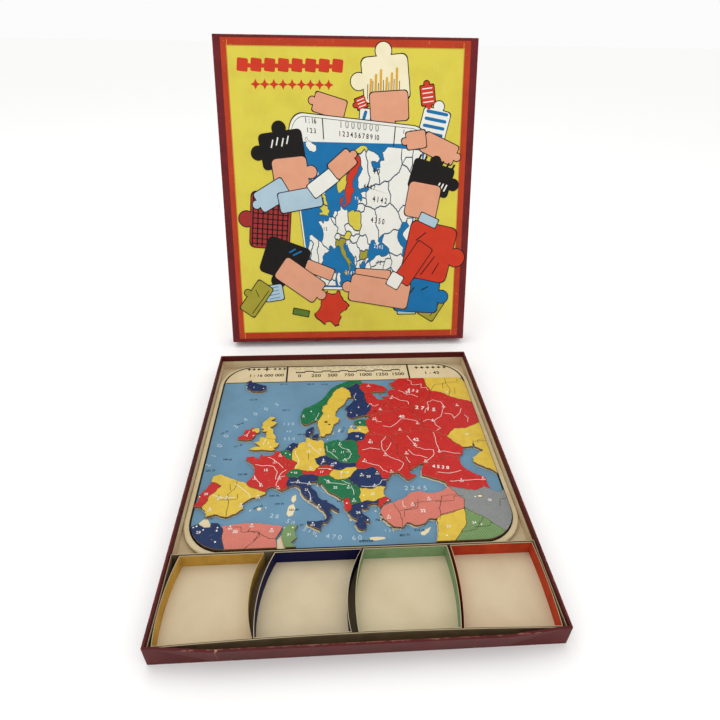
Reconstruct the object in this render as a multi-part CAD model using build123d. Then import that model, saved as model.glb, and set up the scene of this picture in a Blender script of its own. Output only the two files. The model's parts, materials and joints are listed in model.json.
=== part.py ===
from build123d import *
import math
import os

# A boxed jigsaw puzzle: a map of Europe in sawn country pieces on a board, in a shallow paper-wrapped
# tray with a card insert of four sorting boxes, and its lid stood up behind. Millimetres, +Z up, with
# the origin at the centre of the tray's underside, +X to the right and +Y towards the lid.

# Paper-wrapped greyboard shells, lid and tray alike
LID_WIDTH = 341.0
LID_LENGTH = 400.0
LID_DEPTH = 26.0
TRAY_HEIGHT = 22.5
SHELL_CLEARANCE = 0.5       # between the tray's outside and the lid's inside, each side
BOARD_THICKNESS = 1.8
PAPER = 0.2
CORNER_ROUND = 1.2          # outside corners of the wrapped shells
STAY_THICKNESS = 0.15       # gummed paper stays pressed into the board's corners, under the wrap
STAY_LEG = 18.0
TURN_IN = 7.5               # how far the wrap is turned down inside the rim
FRONT_SAG = 4.4             # how far the tray's front rim has been pushed out by handling
SAG_MARGIN = 7.8            # from the tray's side to where the push has run out
SAG_FADE = 44.0             # the stretch of rim over which it runs out

# The printed label on the lid's face
LABEL_SIDE_MARGIN = 9.7
LABEL_TOP_MARGIN = 3.5
LABEL_FOOT_MARGIN = 5.0

# Where the lid stands: on its rear rim, leaning back
LID_LEAN = 18.5
LID_STAND_OFF = 56.3        # from the tray's rear wall to the foot of the lid's face
LID_SIDE_SHIFT = 10.0
LID_FLOOR_GAP = 0.3

# The card insert across the front of the tray, its front wall bowed inwards
INSERT_DEPTH = 83.0
INSERT_HEIGHT = 16.7
INSERT_CARD = 0.7
INSERT_GAP = 0.5
INSERT_BOW = 3.8

# Four folded card boxes in the insert
BOX_CARD = 0.5
BOX_HEIGHT = 15.4
BOX_END_GAP = 0.9
# name: how far each corner and the middle of each side wall stand from the box's own quarter of the
# insert, to the right: back left, back right, front left, front right, middle left, middle right
BOX_SHAPES = {
    "box_ochre": (6.9, -0.6, 2.4, -3.1, 0.9, -9.5),
    "box_navy": (9.0, 5.0, -2.0, -7.5, -2.4, -8.7),
    "box_green": (6.8, 1.0, -2.0, -2.0, -2.5, 2.5),
    "box_red": (4.0, -1.4, 0.1, -2.4, 5.0, -0.6),
}

# The map board behind the insert, and the printed sheet pasted on it
MAP_GAP = 0.5
MAP_BOARD_THICKNESS = 4.5
MAP_CORNER = 43.0
MAP_EDGE_ROUND = 1.2
MAP_FOOT_GAP = 2.6          # between the board's foot and the insert's back wall
SHEET_INSET = 1.4
FRAME_LINE_INSET = 5.4      # printed line round the map, from the board's edge
FIELD_INSET = 1.2           # from that line to the nearest piece
HEADER_DEPTH = 38.4         # the cream title band, from the board's top edge

# The sawn pieces
PIECE_THICKNESS = 3.0
SAW_KERF = 0.6
SAW_RUN = 3.6               # longest straight run of a sawn line
SAW_STRAY = 0.17            # how far the saw strays from it, as a share of the run

# The map is drawn on a cone: a parallel is an arc about the apex and a meridian a straight line to it.
# It is drawn for a field of this size, and stretched to the field that the board leaves.
DRAWN_WIDTH = 317.0
DRAWN_DEPTH = 257.4
APEX_BEHIND_FIELD = 198.6   # from the field's top to the apex
MAP_SCALE = 6.93            # millimetres to a degree of latitude
APEX_LATITUDE = 100.0
CONE = 0.769                # degrees about the apex to a degree of longitude
MERIDIAN = 20.1
MERIDIAN_SHIFT = -5.2
PARALLEL_SQUEEZE = 0.927

# Derived sizes that several pieces share
WALL = PAPER + BOARD_THICKNESS + PAPER
TRAY_WIDTH = LID_WIDTH - 2 * (WALL + SHELL_CLEARANCE)
TRAY_LENGTH = LID_LENGTH - 2 * (WALL + SHELL_CLEARANCE)
SAG_END = TRAY_WIDTH / 2 - SAG_MARGIN
SAG_FLAT = SAG_END - SAG_FADE
INNER_HALF_WIDTH = TRAY_WIDTH / 2 - WALL
INNER_HALF_LENGTH = TRAY_LENGTH / 2 - WALL
FLOOR_Z = PAPER + BOARD_THICKNESS + PAPER
INSERT_FRONT = -INNER_HALF_LENGTH + INSERT_GAP
INSERT_BACK = INSERT_FRONT + INSERT_DEPTH
INSERT_HALF_WIDTH = INNER_HALF_WIDTH - INSERT_GAP
MAP_TOP = INNER_HALF_LENGTH - MAP_GAP
MAP_FOOT = INSERT_BACK + MAP_FOOT_GAP
MAP_HALF_WIDTH = INNER_HALF_WIDTH - MAP_GAP
MAP_FACE_Z = FLOOR_Z + MAP_BOARD_THICKNESS + PAPER
FIELD_HALF_WIDTH = MAP_HALF_WIDTH - FRAME_LINE_INSET - FIELD_INSET
FIELD_FOOT = MAP_FOOT + FRAME_LINE_INSET + FIELD_INSET
FIELD_TOP = MAP_TOP - HEADER_DEPTH - FIELD_INSET
FIELD_CORNER = MAP_CORNER - FRAME_LINE_INSET - FIELD_INSET


def drawn(x, down):
    """The place on the board of a point of the drawing, from its middle and its top edge."""
    across = 2 * FIELD_HALF_WIDTH / DRAWN_WIDTH
    return (x * across, FIELD_TOP - down * (FIELD_TOP - FIELD_FOOT) / DRAWN_DEPTH)


def at(longitude, latitude):
    """The place of a point of the globe on the board."""
    radius = MAP_SCALE * (APEX_LATITUDE - latitude)
    turn = math.radians(CONE * (longitude - MERIDIAN))
    x = MERIDIAN_SHIFT + PARALLEL_SQUEEZE * radius * math.sin(turn)
    return drawn(x, radius * math.cos(turn) - APEX_BEHIND_FIELD)


def wander(points):
    """Breaks a line into short runs that stray a little to either side, as sawing by hand does."""
    result = points[:1]
    for here, there in zip(points, points[1:]):
        length = math.dist(here, there)
        count = max(1, math.ceil(length / SAW_RUN))
        for i in range(1, count):
            stray = SAW_STRAY / count * math.sin(3.1 * here[0] + 1.7 * there[1] + 2.3 * i)
            x = here[0] + (there[0] - here[0]) * i / count - (there[1] - here[1]) * stray
            y = here[1] + (there[1] - here[1]) * i / count + (there[0] - here[0]) * stray
            result.append((x, y))
        result.append(there)
    return result


def geo(text):
    """A sawn line through places given as 'longitude latitude, longitude latitude, ...'."""
    return wander([at(*map(float, place.split())) for place in text.split(",")])


def field_corner(side, start, end, steps=5):
    """Points along a rounded foot corner of the field; side is -1 on the left and 1 on the right."""
    centre_x = side * (FIELD_HALF_WIDTH - FIELD_CORNER)
    centre_y = FIELD_FOOT + FIELD_CORNER
    turns = [math.radians(start + (end - start) * i / steps) for i in range(steps + 1)]
    return [(centre_x + side * FIELD_CORNER * math.cos(t), centre_y - FIELD_CORNER * math.sin(t))
            for t in turns]


def on_foot(longitude):
    """Where a meridian meets the foot of the field."""
    turn = math.radians(CONE * (longitude - MERIDIAN))
    reach = APEX_BEHIND_FIELD + DRAWN_DEPTH
    return drawn(MERIDIAN_SHIFT + PARALLEL_SQUEEZE * reach * math.tan(turn), DRAWN_DEPTH)


def on_side(latitude):
    """Where a parallel meets the field's right side."""
    radius = MAP_SCALE * (APEX_LATITUDE - latitude)
    sine = (DRAWN_WIDTH / 2 - MERIDIAN_SHIFT) / (PARALLEL_SQUEEZE * radius)
    return drawn(DRAWN_WIDTH / 2, radius * math.sqrt(1 - sine ** 2) - APEX_BEHIND_FIELD)


# Coasts and borders, each used by the piece on either side of it.
LINES = {
    # Scandinavia and Finland
    "norway_sea": geo("11.2 59.0, 10.5 59.3, 9.6 58.8, 8.2 58.1, 7.0 57.9, 5.7 58.6, 5.1 59.6, 4.8 61.0, 5.2 62.1, "
                      "7.3 63.0, 9.3 63.9, 11.0 64.9, 12.6 66.1, 13.6 67.3, 15.0 68.5, 17.4 69.5, 20.3 70.1, "
                      "23.6 70.9, 26.5 71.0, 29.6 70.7, 30.9 69.8"),
    "norway_kola": geo("28.9 69.1, 30.9 69.8"),
    "norway_finland": geo("20.5 69.0, 23.8 68.8, 25.8 69.5, 27.6 70.0, 28.9 69.1"),
    "norway_sweden": geo("20.5 69.0, 18.0 68.4, 16.2 67.4, 15.4 66.2, 14.3 65.1, 13.7 64.2, 14.1 63.9, 12.2 63.2, "
                         "12.1 61.9, 12.8 61.2, 12.2 60.4, 11.7 59.6, 11.2 59.0"),
    "sweden_finland": geo("20.5 69.0, 23.5 67.9, 23.9 66.8, 24.1 65.8"),
    "sweden_sea": geo("24.1 65.8, 22.3 65.6, 21.4 64.6, 20.4 63.7, 18.2 62.7, 17.4 61.5, 17.3 60.7, 18.9 60.0, "
                      "18.4 59.1, 16.8 58.4, 16.5 57.2, 15.9 56.2, 14.5 56.0, 14.2 55.4, 12.9 55.4, 12.6 56.4, "
                      "11.8 57.6, 11.2 59.0"),
    "finland_sea": geo("24.1 65.8, 25.3 65.1, 23.2 64.0, 21.3 62.8, 21.5 61.3, 21.5 60.5, 23.0 59.9, 25.0 60.2, "
                       "27.8 60.4"),
    "finland_russia": geo("27.8 60.4, 29.9 61.4, 31.3 62.8, 30.0 63.9, 29.7 65.3, 30.0 66.9, 28.6 68.2, 28.9 69.1"),
    # the islands
    "iceland_sea": geo("-24.2 65.2, -22.9 66.3, -21.3 65.7, -20.2 66.0, -18.0 66.0, -15.0 66.3, -13.4 65.2, "
                       "-14.6 64.3, -18.6 63.5, -21.6 63.9, -22.9 64.5, -22.4 65.0, -24.2 65.2"),
    "ulster_border": geo("-6.0 54.0, -6.9 54.3, -7.6 54.1, -8.1 54.5, -7.3 55.1"),
    "ulster_sea": geo("-7.3 55.1, -6.3 55.3, -5.6 54.7, -5.5 54.3, -6.0 54.0"),
    "ireland_sea": geo("-7.3 55.1, -8.6 54.9, -8.5 54.4, -9.9 54.2, -9.7 53.4, -9.1 53.1, -9.8 52.5, -10.4 52.0, "
                       "-9.9 51.5, -8.2 51.8, -6.4 52.2, -6.1 53.3, -6.0 54.0"),
    "britain_seam": geo("0.2 53.5, -1.4 53.4, -3.0 53.5"),
    "north_britain_sea": geo("-3.0 53.5, -3.0 54.1, -3.6 54.5, -3.3 54.9, -4.9 54.7, -4.7 55.3, -5.6 55.4, "
                             "-5.7 56.1, -6.2 56.7, -5.7 57.5, -5.1 58.6, -3.1 58.7, -4.0 57.7, -1.9 57.6, "
                             "-2.1 57.0, -2.8 56.3, -3.2 56.0, -1.8 55.7, -1.3 54.8, -0.2 54.2, 0.2 53.5"),
    "south_britain_sea": geo("0.2 53.5, 0.4 52.9, 1.7 52.8, 1.6 52.1, 0.7 51.5, 1.4 51.2, 0.2 50.8, -1.2 50.7, "
                             "-2.4 50.6, -3.5 50.3, -5.5 50.0, -4.3 51.0, -3.0 51.3, -4.2 51.6, -5.2 51.8, "
                             "-4.1 52.4, -4.4 52.9, -4.3 53.4, -3.0 53.5"),
    # the Baltic and the North Sea
    "jutland_sea": geo("8.7 54.9, 8.1 55.6, 8.2 56.7, 8.8 57.1, 9.9 57.6, 10.6 57.7, 10.3 56.9, 10.8 56.4, "
                       "10.0 55.8, 9.6 55.4, 9.7 54.9"),
    "jutland_foot": geo("8.7 54.9, 9.7 54.9"),
    "zealand_sea": geo("10.4 55.5, 11.2 55.8, 12.2 56.1, 12.5 55.3, 12.0 54.7, 10.9 54.8, 10.4 55.0, 10.4 55.5"),
    "estonia_sea": geo("24.4 57.8, 24.4 58.4, 23.5 58.7, 23.6 59.2, 25.6 59.5, 28.0 59.4"),
    "estonia_russia": geo("28.0 59.4, 27.5 58.6, 27.5 57.6"),
    "estonia_latvia": geo("24.4 57.8, 26.0 57.8, 27.5 57.6"),
    "latvia_sea": geo("21.1 56.1, 21.4 57.1, 22.5 57.6, 23.4 57.0, 24.3 57.2, 24.4 57.8"),
    "latvia_russia": geo("27.5 57.6, 28.1 56.3, 26.7 55.7"),
    "latvia_lithuania": geo("21.1 56.1, 22.5 56.4, 24.6 56.4, 26.7 55.7"),
    "lithuania_sea": geo("19.8 54.5, 21.0 55.2, 21.1 56.1"),
    "lithuania_russia": geo("26.7 55.7, 25.8 54.4, 23.6 54.0"),
    "poland_lithuania": geo("19.8 54.5, 22.6 54.4, 23.6 54.0"),
    "poland_sea": geo("14.3 53.9, 16.3 54.4, 18.2 54.8, 18.9 54.3, 19.8 54.5"),
    "poland_russia": geo("23.6 54.0, 23.7 52.7, 23.5 51.6, 24.0 50.5, 22.6 49.2"),
    "germany_east_sea": geo("9.7 54.9, 10.9 54.4, 12.2 54.2, 13.3 54.6, 14.3 53.9"),
    "germany_poland": geo("14.3 53.9, 14.3 52.8, 14.7 52.1, 14.9 51.0"),
    "germany_north_sea": geo("7.1 53.3, 7.9 53.7, 8.9 53.9, 8.7 54.9"),
    "germany_holland": geo("7.1 53.3, 7.0 52.4, 6.1 51.9, 6.0 51.0"),
    "holland_sea": geo("3.5 51.3, 4.2 52.1, 4.8 53.0, 5.6 53.4, 7.1 53.3"),
    "holland_belgium": geo("3.5 51.3, 4.9 51.4, 6.0 51.0"),
    # the middle of Europe
    "belgium_sea": geo("2.6 51.1, 3.5 51.3"),
    "belgium_germany": geo("6.0 51.0, 6.2 50.2, 6.5 49.5"),
    "belgium_france": geo("6.5 49.5, 5.4 49.6, 4.6 50.0, 3.5 50.4, 2.6 51.1"),
    "germany_france": geo("6.5 49.5, 8.1 49.0, 7.7 48.4, 7.6 47.6"),
    "germany_switzerland": geo("7.6 47.6, 8.6 47.7, 9.6 47.5"),
    "germany_austria": geo("9.6 47.5, 11.0 47.4, 12.8 47.6, 12.9 48.1, 13.8 48.7"),
    "germany_bohemia": geo("13.8 48.7, 12.8 49.3, 12.2 50.2, 13.5 50.7, 14.9 51.0"),
    "bohemia_poland": geo("14.9 51.0, 16.2 50.5, 17.8 50.1, 18.9 49.5, 20.4 49.3, 22.6 49.2"),
    "bohemia_russia": geo("22.6 49.2, 22.5 48.4"),
    "bohemia_hungary": geo("22.5 48.4, 20.6 48.4, 18.8 47.8, 17.1 48.0"),
    "bohemia_austria": geo("17.1 48.0, 16.8 48.7, 15.2 49.0, 13.8 48.7"),
    "switzerland_austria": geo("9.6 47.5, 9.6 47.1, 10.4 46.7"),
    "switzerland_france": geo("7.6 47.6, 6.9 47.3, 6.1 46.3, 7.0 45.9"),
    "switzerland_italy": geo("7.0 45.9, 8.1 46.1, 9.0 45.9, 9.5 46.4, 10.4 46.7"),
    "austria_italy": geo("10.4 46.7, 12.2 46.9, 13.7 46.5"),
    "austria_yugoslavia": geo("13.7 46.5, 15.0 46.6, 16.1 46.8"),
    "austria_hungary": geo("16.1 46.8, 16.5 47.5, 17.1 48.0"),
    "hungary_russia": geo("22.5 48.4, 22.9 48.0"),
    "hungary_romania": geo("22.9 48.0, 21.7 47.1, 21.1 46.4, 20.3 46.1"),
    "hungary_yugoslavia": geo("20.3 46.1, 18.8 45.9, 17.4 46.0, 16.1 46.8"),
    "romania_russia": geo("22.9 48.0, 24.8 47.8, 26.5 48.2, 27.7 47.2, 28.2 45.6, 29.7 45.3"),
    "romania_sea": geo("29.7 45.3, 28.9 44.7, 28.6 43.8"),
    "romania_bulgaria": geo("28.6 43.8, 27.1 44.1, 25.4 43.7, 22.8 44.1"),
    "romania_yugoslavia": geo("22.8 44.1, 22.4 44.6, 21.4 44.9, 20.3 46.1"),
    # the Balkans
    "yugoslavia_italy": geo("13.7 46.5, 13.5 46.0, 13.7 45.6"),
    "yugoslavia_sea": geo("13.7 45.6, 13.6 45.0, 14.0 44.9, 14.5 45.3, 15.1 44.5, 16.0 43.6, 17.6 42.9, 19.3 41.9"),
    "yugoslavia_albania": geo("19.3 41.9, 20.1 42.5, 20.6 41.8, 20.6 41.2, 20.9 40.9"),
    "yugoslavia_greece": geo("20.9 40.9, 22.0 41.2, 22.9 41.3"),
    "yugoslavia_bulgaria": geo("22.9 41.3, 22.4 42.3, 22.9 43.1, 22.8 44.1"),
    "albania_sea": geo("19.3 41.9, 19.4 41.0, 19.4 40.3, 20.1 39.6"),
    "albania_greece": geo("20.9 40.9, 20.7 40.1, 20.1 39.6"),
    "bulgaria_sea": geo("28.6 43.8, 27.9 43.2, 27.7 42.5, 28.0 42.0"),
    "bulgaria_thrace": geo("28.0 42.0, 26.4 41.7"),
    "bulgaria_greece": geo("26.4 41.7, 25.4 41.3, 24.2 41.6, 22.9 41.3"),
    "thrace_sea": geo("28.0 42.0, 29.0 41.2, 27.8 41.0, 27.1 40.5, 26.2 40.1, 26.1 40.8"),
    "thrace_greece": geo("26.1 40.8, 26.4 41.7"),
    "greece_sea": geo("26.1 40.8, 24.8 40.9, 23.9 40.6, 24.3 40.1, 23.4 40.0, 22.8 40.5, 22.7 39.7, 23.2 39.0, "
                      "24.0 38.4, 24.0 37.7, 23.0 37.9, 23.4 37.4, 23.1 36.6, 22.4 36.5, 21.7 36.8, 21.2 37.7, "
                      "21.8 38.3, 20.8 38.8, 20.1 39.6"),
    # Italy with Sicily, France and Iberia
    "italy_france": geo("7.0 45.9, 6.9 45.1, 7.0 44.3, 7.5 43.8"),
    "italy_sea": geo("7.5 43.8, 8.3 44.2, 8.9 44.4, 10.0 44.0, 10.5 43.0, 11.2 42.4, 12.3 41.7, 13.5 41.2, "
                     "14.3 40.7, 15.3 40.1, 15.9 39.4, 16.0 38.7, 15.5 38.3, 14.0 38.1, 12.5 38.1, 12.5 37.6, "
                     "13.8 37.1, 15.1 36.6, 15.2 37.3, 15.6 37.9, 16.1 37.9, 16.6 38.5, 17.2 39.2, 16.6 39.8, "
                     "16.9 40.5, 18.2 39.8, 18.5 40.3, 16.9 41.2, 16.1 41.5, 16.1 41.9, 15.1 41.9, 14.2 42.4, "
                     "13.6 43.5, 12.4 44.3, 12.3 45.3, 13.7 45.6"),
    "france_north_sea": geo("-1.7 43.4, -1.2 44.7, -1.1 45.9, -2.1 47.0, -2.9 47.5, -4.6 47.8, -4.8 48.5, "
                            "-3.2 48.9, -1.6 48.6, -1.9 49.7, -1.2 49.7, -1.1 49.3, 0.2 49.6, 1.5 50.2, "
                            "1.6 50.9, 2.6 51.1"),
    "france_south_sea": geo("3.2 42.4, 3.1 43.1, 4.0 43.6, 5.0 43.4, 6.2 43.0, 7.5 43.8"),
    "france_spain": geo("-1.7 43.4, -0.6 42.8, 0.7 42.7, 1.8 42.5, 3.2 42.4"),
    "spain_north_west": geo("-8.8 41.9, -9.3 43.0, -8.0 43.8, -5.8 43.6, -3.6 43.5"),
    "spain_north_east": geo("-3.6 43.5, -1.7 43.4"),
    "spain_portugal": geo("-8.8 41.9, -8.1 42.0, -6.4 41.8, -6.9 40.2, -7.4 39.5, -7.1 38.6, -7.4 37.2"),
    "portugal_sea": geo("-8.8 41.9, -8.9 40.3, -9.5 38.8, -8.8 38.4, -8.9 37.0, -7.4 37.2"),
    "spain_west_sea": geo("-7.4 37.2, -6.4 36.8, -5.6 36.0, -4.4 36.7, -2.2 36.7"),
    "spain_east_sea": geo("-2.2 36.7, -0.8 37.6, 0.2 38.8, -0.4 39.5, 0.7 40.8, 2.1 41.3, 3.2 42.0, 3.2 42.4"),
    "spain_seam": geo("-3.6 43.5, -3.4 41.8, -4.1 40.6, -3.0 39.0, -2.2 36.7"),
    # North Africa
    "morocco_sea": geo("-2.1 35.1, -2.8 35.5, -4.1 35.4, -3.9 34.6, -4.8 34.3, -6.0 34.6, -6.8 34.0"),
    "morocco_edge": [*geo("-6.8 34.0"), *field_corner(-1, 14.0, 90.0), on_foot(0.2)],
    "morocco_algeria": [*geo("-2.1 35.1, -1.4 34.5, -1.1 33.4"), on_foot(0.2)],
    "algeria_foot_west": [on_foot(0.2), on_foot(3.2)],
    "algeria_foot_east": [on_foot(3.2), on_foot(8.3)],
    "algeria_sea_west": geo("-2.1 35.1, -0.5 35.8, 1.2 36.4, 3.0 36.8"),
    "algeria_sea_east": geo("3.0 36.8, 5.4 36.9, 8.4 36.9"),
    "algeria_north_east": geo("8.4 36.9, 8.2 35.9, 7.7 34.8"),
    "algeria_south_east": [*geo("7.7 34.8"), on_foot(8.3)],
    "algeria_seam_north": geo("3.0 36.8, 2.7 35.2, 4.6 35.3"),
    "algeria_seam_south": [*geo("4.6 35.3, 4.4 34.0"), on_foot(3.2)],
    "algeria_seam_east": geo("4.6 35.3, 6.6 34.6, 7.7 34.8"),
    "tunisia_sea": geo("8.9 37.0, 9.9 37.4, 11.0 37.1, 10.6 36.4, 11.2 35.3, 10.4 34.4, 11.1 34.0"),
    "tunisia_gulf": [*geo("11.1 34.0"), on_foot(11.4)],
    "tunisia_west": [on_foot(11.4), on_foot(9.6), *geo("8.7 34.9, 8.5 35.9, 8.9 37.0")],
    # Asia Minor and the Levant
    "turkey_north_west": geo("26.2 39.5, 27.2 40.4, 29.0 40.7"),
    "turkey_north_east": geo("29.0 40.7, 31.4 41.2, 33.4 42.0, 35.2 42.0, 36.4 41.3, 38.4 41.0, 40.3 41.1, "
                             "41.6 41.5"),
    "turkey_west_sea": geo("26.2 39.5, 26.4 38.3, 27.2 37.3, 28.0 36.6, 29.6 36.1"),
    "turkey_south_sea": geo("29.6 36.1, 30.6 36.9, 32.2 36.1, 33.7 36.2, 34.8 36.8, 36.1 36.5"),
    "turkey_syria_west": geo("36.1 36.5, 37.2 36.9"),
    "turkey_syria_east": geo("37.2 36.9, 39.5 36.8, 42.0 37.1"),
    "turkey_persia": geo("42.0 37.1, 42.9 38.4, 42.2 39.6"),
    "turkey_persia_north": geo("42.2 39.6, 41.8 40.6, 41.6 41.5"),
    "turkey_seam_first": geo("29.0 40.7, 29.7 39.0"),
    "turkey_seam_middle": geo("29.7 39.0, 33.0 39.2, 33.3 40.0, 38.6 39.4"),
    "turkey_seam_last": geo("38.6 39.4, 39.0 40.1, 42.2 39.6"),
    "turkey_seam_west": geo("29.7 39.0, 29.9 37.6, 29.6 36.1"),
    "turkey_seam_east": geo("38.6 39.4, 37.4 38.2, 37.2 36.9"),
    "syria_sea": [*geo("36.1 36.5, 35.7 35.4, 34.9 33.6"), on_foot(34.2)],
    "syria_iraq_north": geo("42.0 37.1, 41.4 35.8, 40.6 34.4, 39.0 33.4"),
    "syria_iraq_south": [*geo("39.0 33.4"), on_foot(37.4)],
    "syria_foot": [on_foot(34.2), on_foot(37.4)],
    "iraq_foot": [on_foot(37.4), *field_corner(1, 84.0, 50.0)],
    "iraq_persia_south": [field_corner(1, 84.0, 50.0)[-1], *geo("44.2 34.6")],
    "iraq_persia_north": geo("44.2 34.6, 43.0 35.8, 42.0 37.1"),
    "iraq_seam": geo("39.0 33.4, 41.6 33.1, 44.2 34.6"),
    "persia_edge": [*field_corner(1, 50.0, 0.0), on_side(37.5)],
    "persia_sea": [on_side(37.5), *geo("50.1 37.4, 49.0 38.4")],
    "persia_russia": geo("49.0 38.4, 48.2 39.4, 46.4 39.2, 44.8 39.8, 43.3 40.6, 41.6 41.5"),
    # Russia and its neighbours to the east
    "lapland_sea": geo("30.9 69.8, 33.2 69.5, 36.4 69.0, 40.0 67.8, 41.0 66.8, 38.4 66.1, 34.6 66.7, 33.0 66.6, "
                       "34.8 64.5, 37.8 63.9"),
    "dvina_sea": [*geo("37.8 63.9, 36.9 65.0, 39.8 64.7, 40.4 66.2, 42.4 66.4, 44.0 66.2, 43.4 68.4, 45.0 68.3"),
                  drawn(70.0, 0.0)],
    "arctic_edge": [drawn(70.0, 0.0), drawn(105.0, 0.0)],
    "urals_north": [drawn(105.0, 0.0), *geo("58.0 64.6, 57.4 62.7")],
    "urals_middle": geo("57.4 62.7, 60.2 61.3, 61.4 59.6"),
    "urals_south": [*geo("61.4 59.6, 63.0 57.9, 64.9 56.6"), on_side(55.6)],
    "siberia_top": [drawn(105.0, 0.0), drawn(133.0, 0.0)],
    "siberia_corner": [drawn(133.0, 0.0), (FIELD_HALF_WIDTH - 7.0, FIELD_TOP),
                       (FIELD_HALF_WIDTH - 2.0, FIELD_TOP - 5.0), (FIELD_HALF_WIDTH, FIELD_TOP - 14.0)],
    "siberia_side": [(FIELD_HALF_WIDTH, FIELD_TOP - 14.0), on_side(55.6)],
    "siberia_seam": [drawn(133.0, 0.0), drawn(133.0, 14.0)],
    "siberia_seam_south": [drawn(133.0, 14.0), drawn(117.0, 15.5), *geo("57.4 62.7")],
    "siberia_cross": [drawn(133.0, 14.0), drawn(136.0, 27.0), *geo("61.4 59.6")],
    "lapland_seam": geo("27.8 60.4, 31.6 60.4, 35.0 60.9, 38.5 60.4"),
    "dvina_seam": geo("37.8 63.9, 38.6 62.2, 38.5 60.4"),
    "centre_north": geo("38.5 60.4, 42.0 60.9, 45.6 60.3"),
    "volga_north": geo("45.6 60.3, 50.0 61.0, 54.0 61.2, 57.4 62.7"),
    "volga_seam": geo("45.6 60.3, 44.4 58.4, 45.8 56.6, 44.6 54.7"),
    "gulf_sea": geo("28.0 59.4, 29.9 59.9, 27.8 60.4"),
    "centre_west": geo("26.7 55.7, 30.0 55.3, 33.4 54.4"),
    "centre_south": geo("33.4 54.4, 37.5 54.9, 41.0 54.2, 44.6 54.7"),
    "volga_south": geo("44.6 54.7, 47.2 53.0, 49.2 51.2"),
    "volga_side": [on_side(55.6), on_side(51.0)],
    "steppe_north": [on_side(51.0), *geo("58.0 51.1, 55.4 51.3, 52.8 52.2, 49.2 51.2")],
    "steppe_west": geo("49.2 51.2, 49.8 49.4, 50.9 47.7"),
    "steppe_sea": geo("50.9 47.7, 53.2 47.1, 54.3 48.0"),
    "steppe_seam": [*geo("54.3 48.0"), on_side(47.0)],
    "steppe_side": [on_side(51.0), on_side(47.0)],
    "caspian_shore": [*geo("54.3 48.0, 53.5 46.9, 54.6 45.6, 52.2 45.3, 50.8 44.9, 50.2 44.3, 51.0 43.2, 52.6 41.4"),
                      on_side(40.4)],
    "caspian_side": [on_side(47.0), on_side(40.4)],
    "ukraine_seam": geo("33.4 54.4, 34.6 52.2, 33.9 50.2, 35.6 48.4, 35.2 46.3"),
    "ukraine_sea": geo("29.7 45.3, 30.6 46.3, 32.4 46.2, 33.0 45.4, 33.5 44.6, 34.4 44.5, 36.2 45.1, 34.9 45.7, "
                       "35.2 46.3"),
    "don_seam": geo("39.1 47.1, 42.2 46.7, 45.2 47.2, 48.2 46.2"),
    "azov_sea": geo("35.2 46.3, 37.4 46.9, 39.1 47.1"),
    "caucasus_sea": geo("39.1 47.1, 38.0 46.2, 37.2 45.0, 38.6 44.2, 40.0 43.4, 41.4 42.5, 41.6 41.5"),
    "volga_mouth": geo("50.9 47.7, 49.4 46.5, 48.2 46.2"),
    "caspian_west": geo("48.2 46.2, 47.2 44.8, 47.6 43.3, 48.8 41.8, 50.1 40.7, 49.4 39.6, 49.0 38.4"),
}

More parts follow.
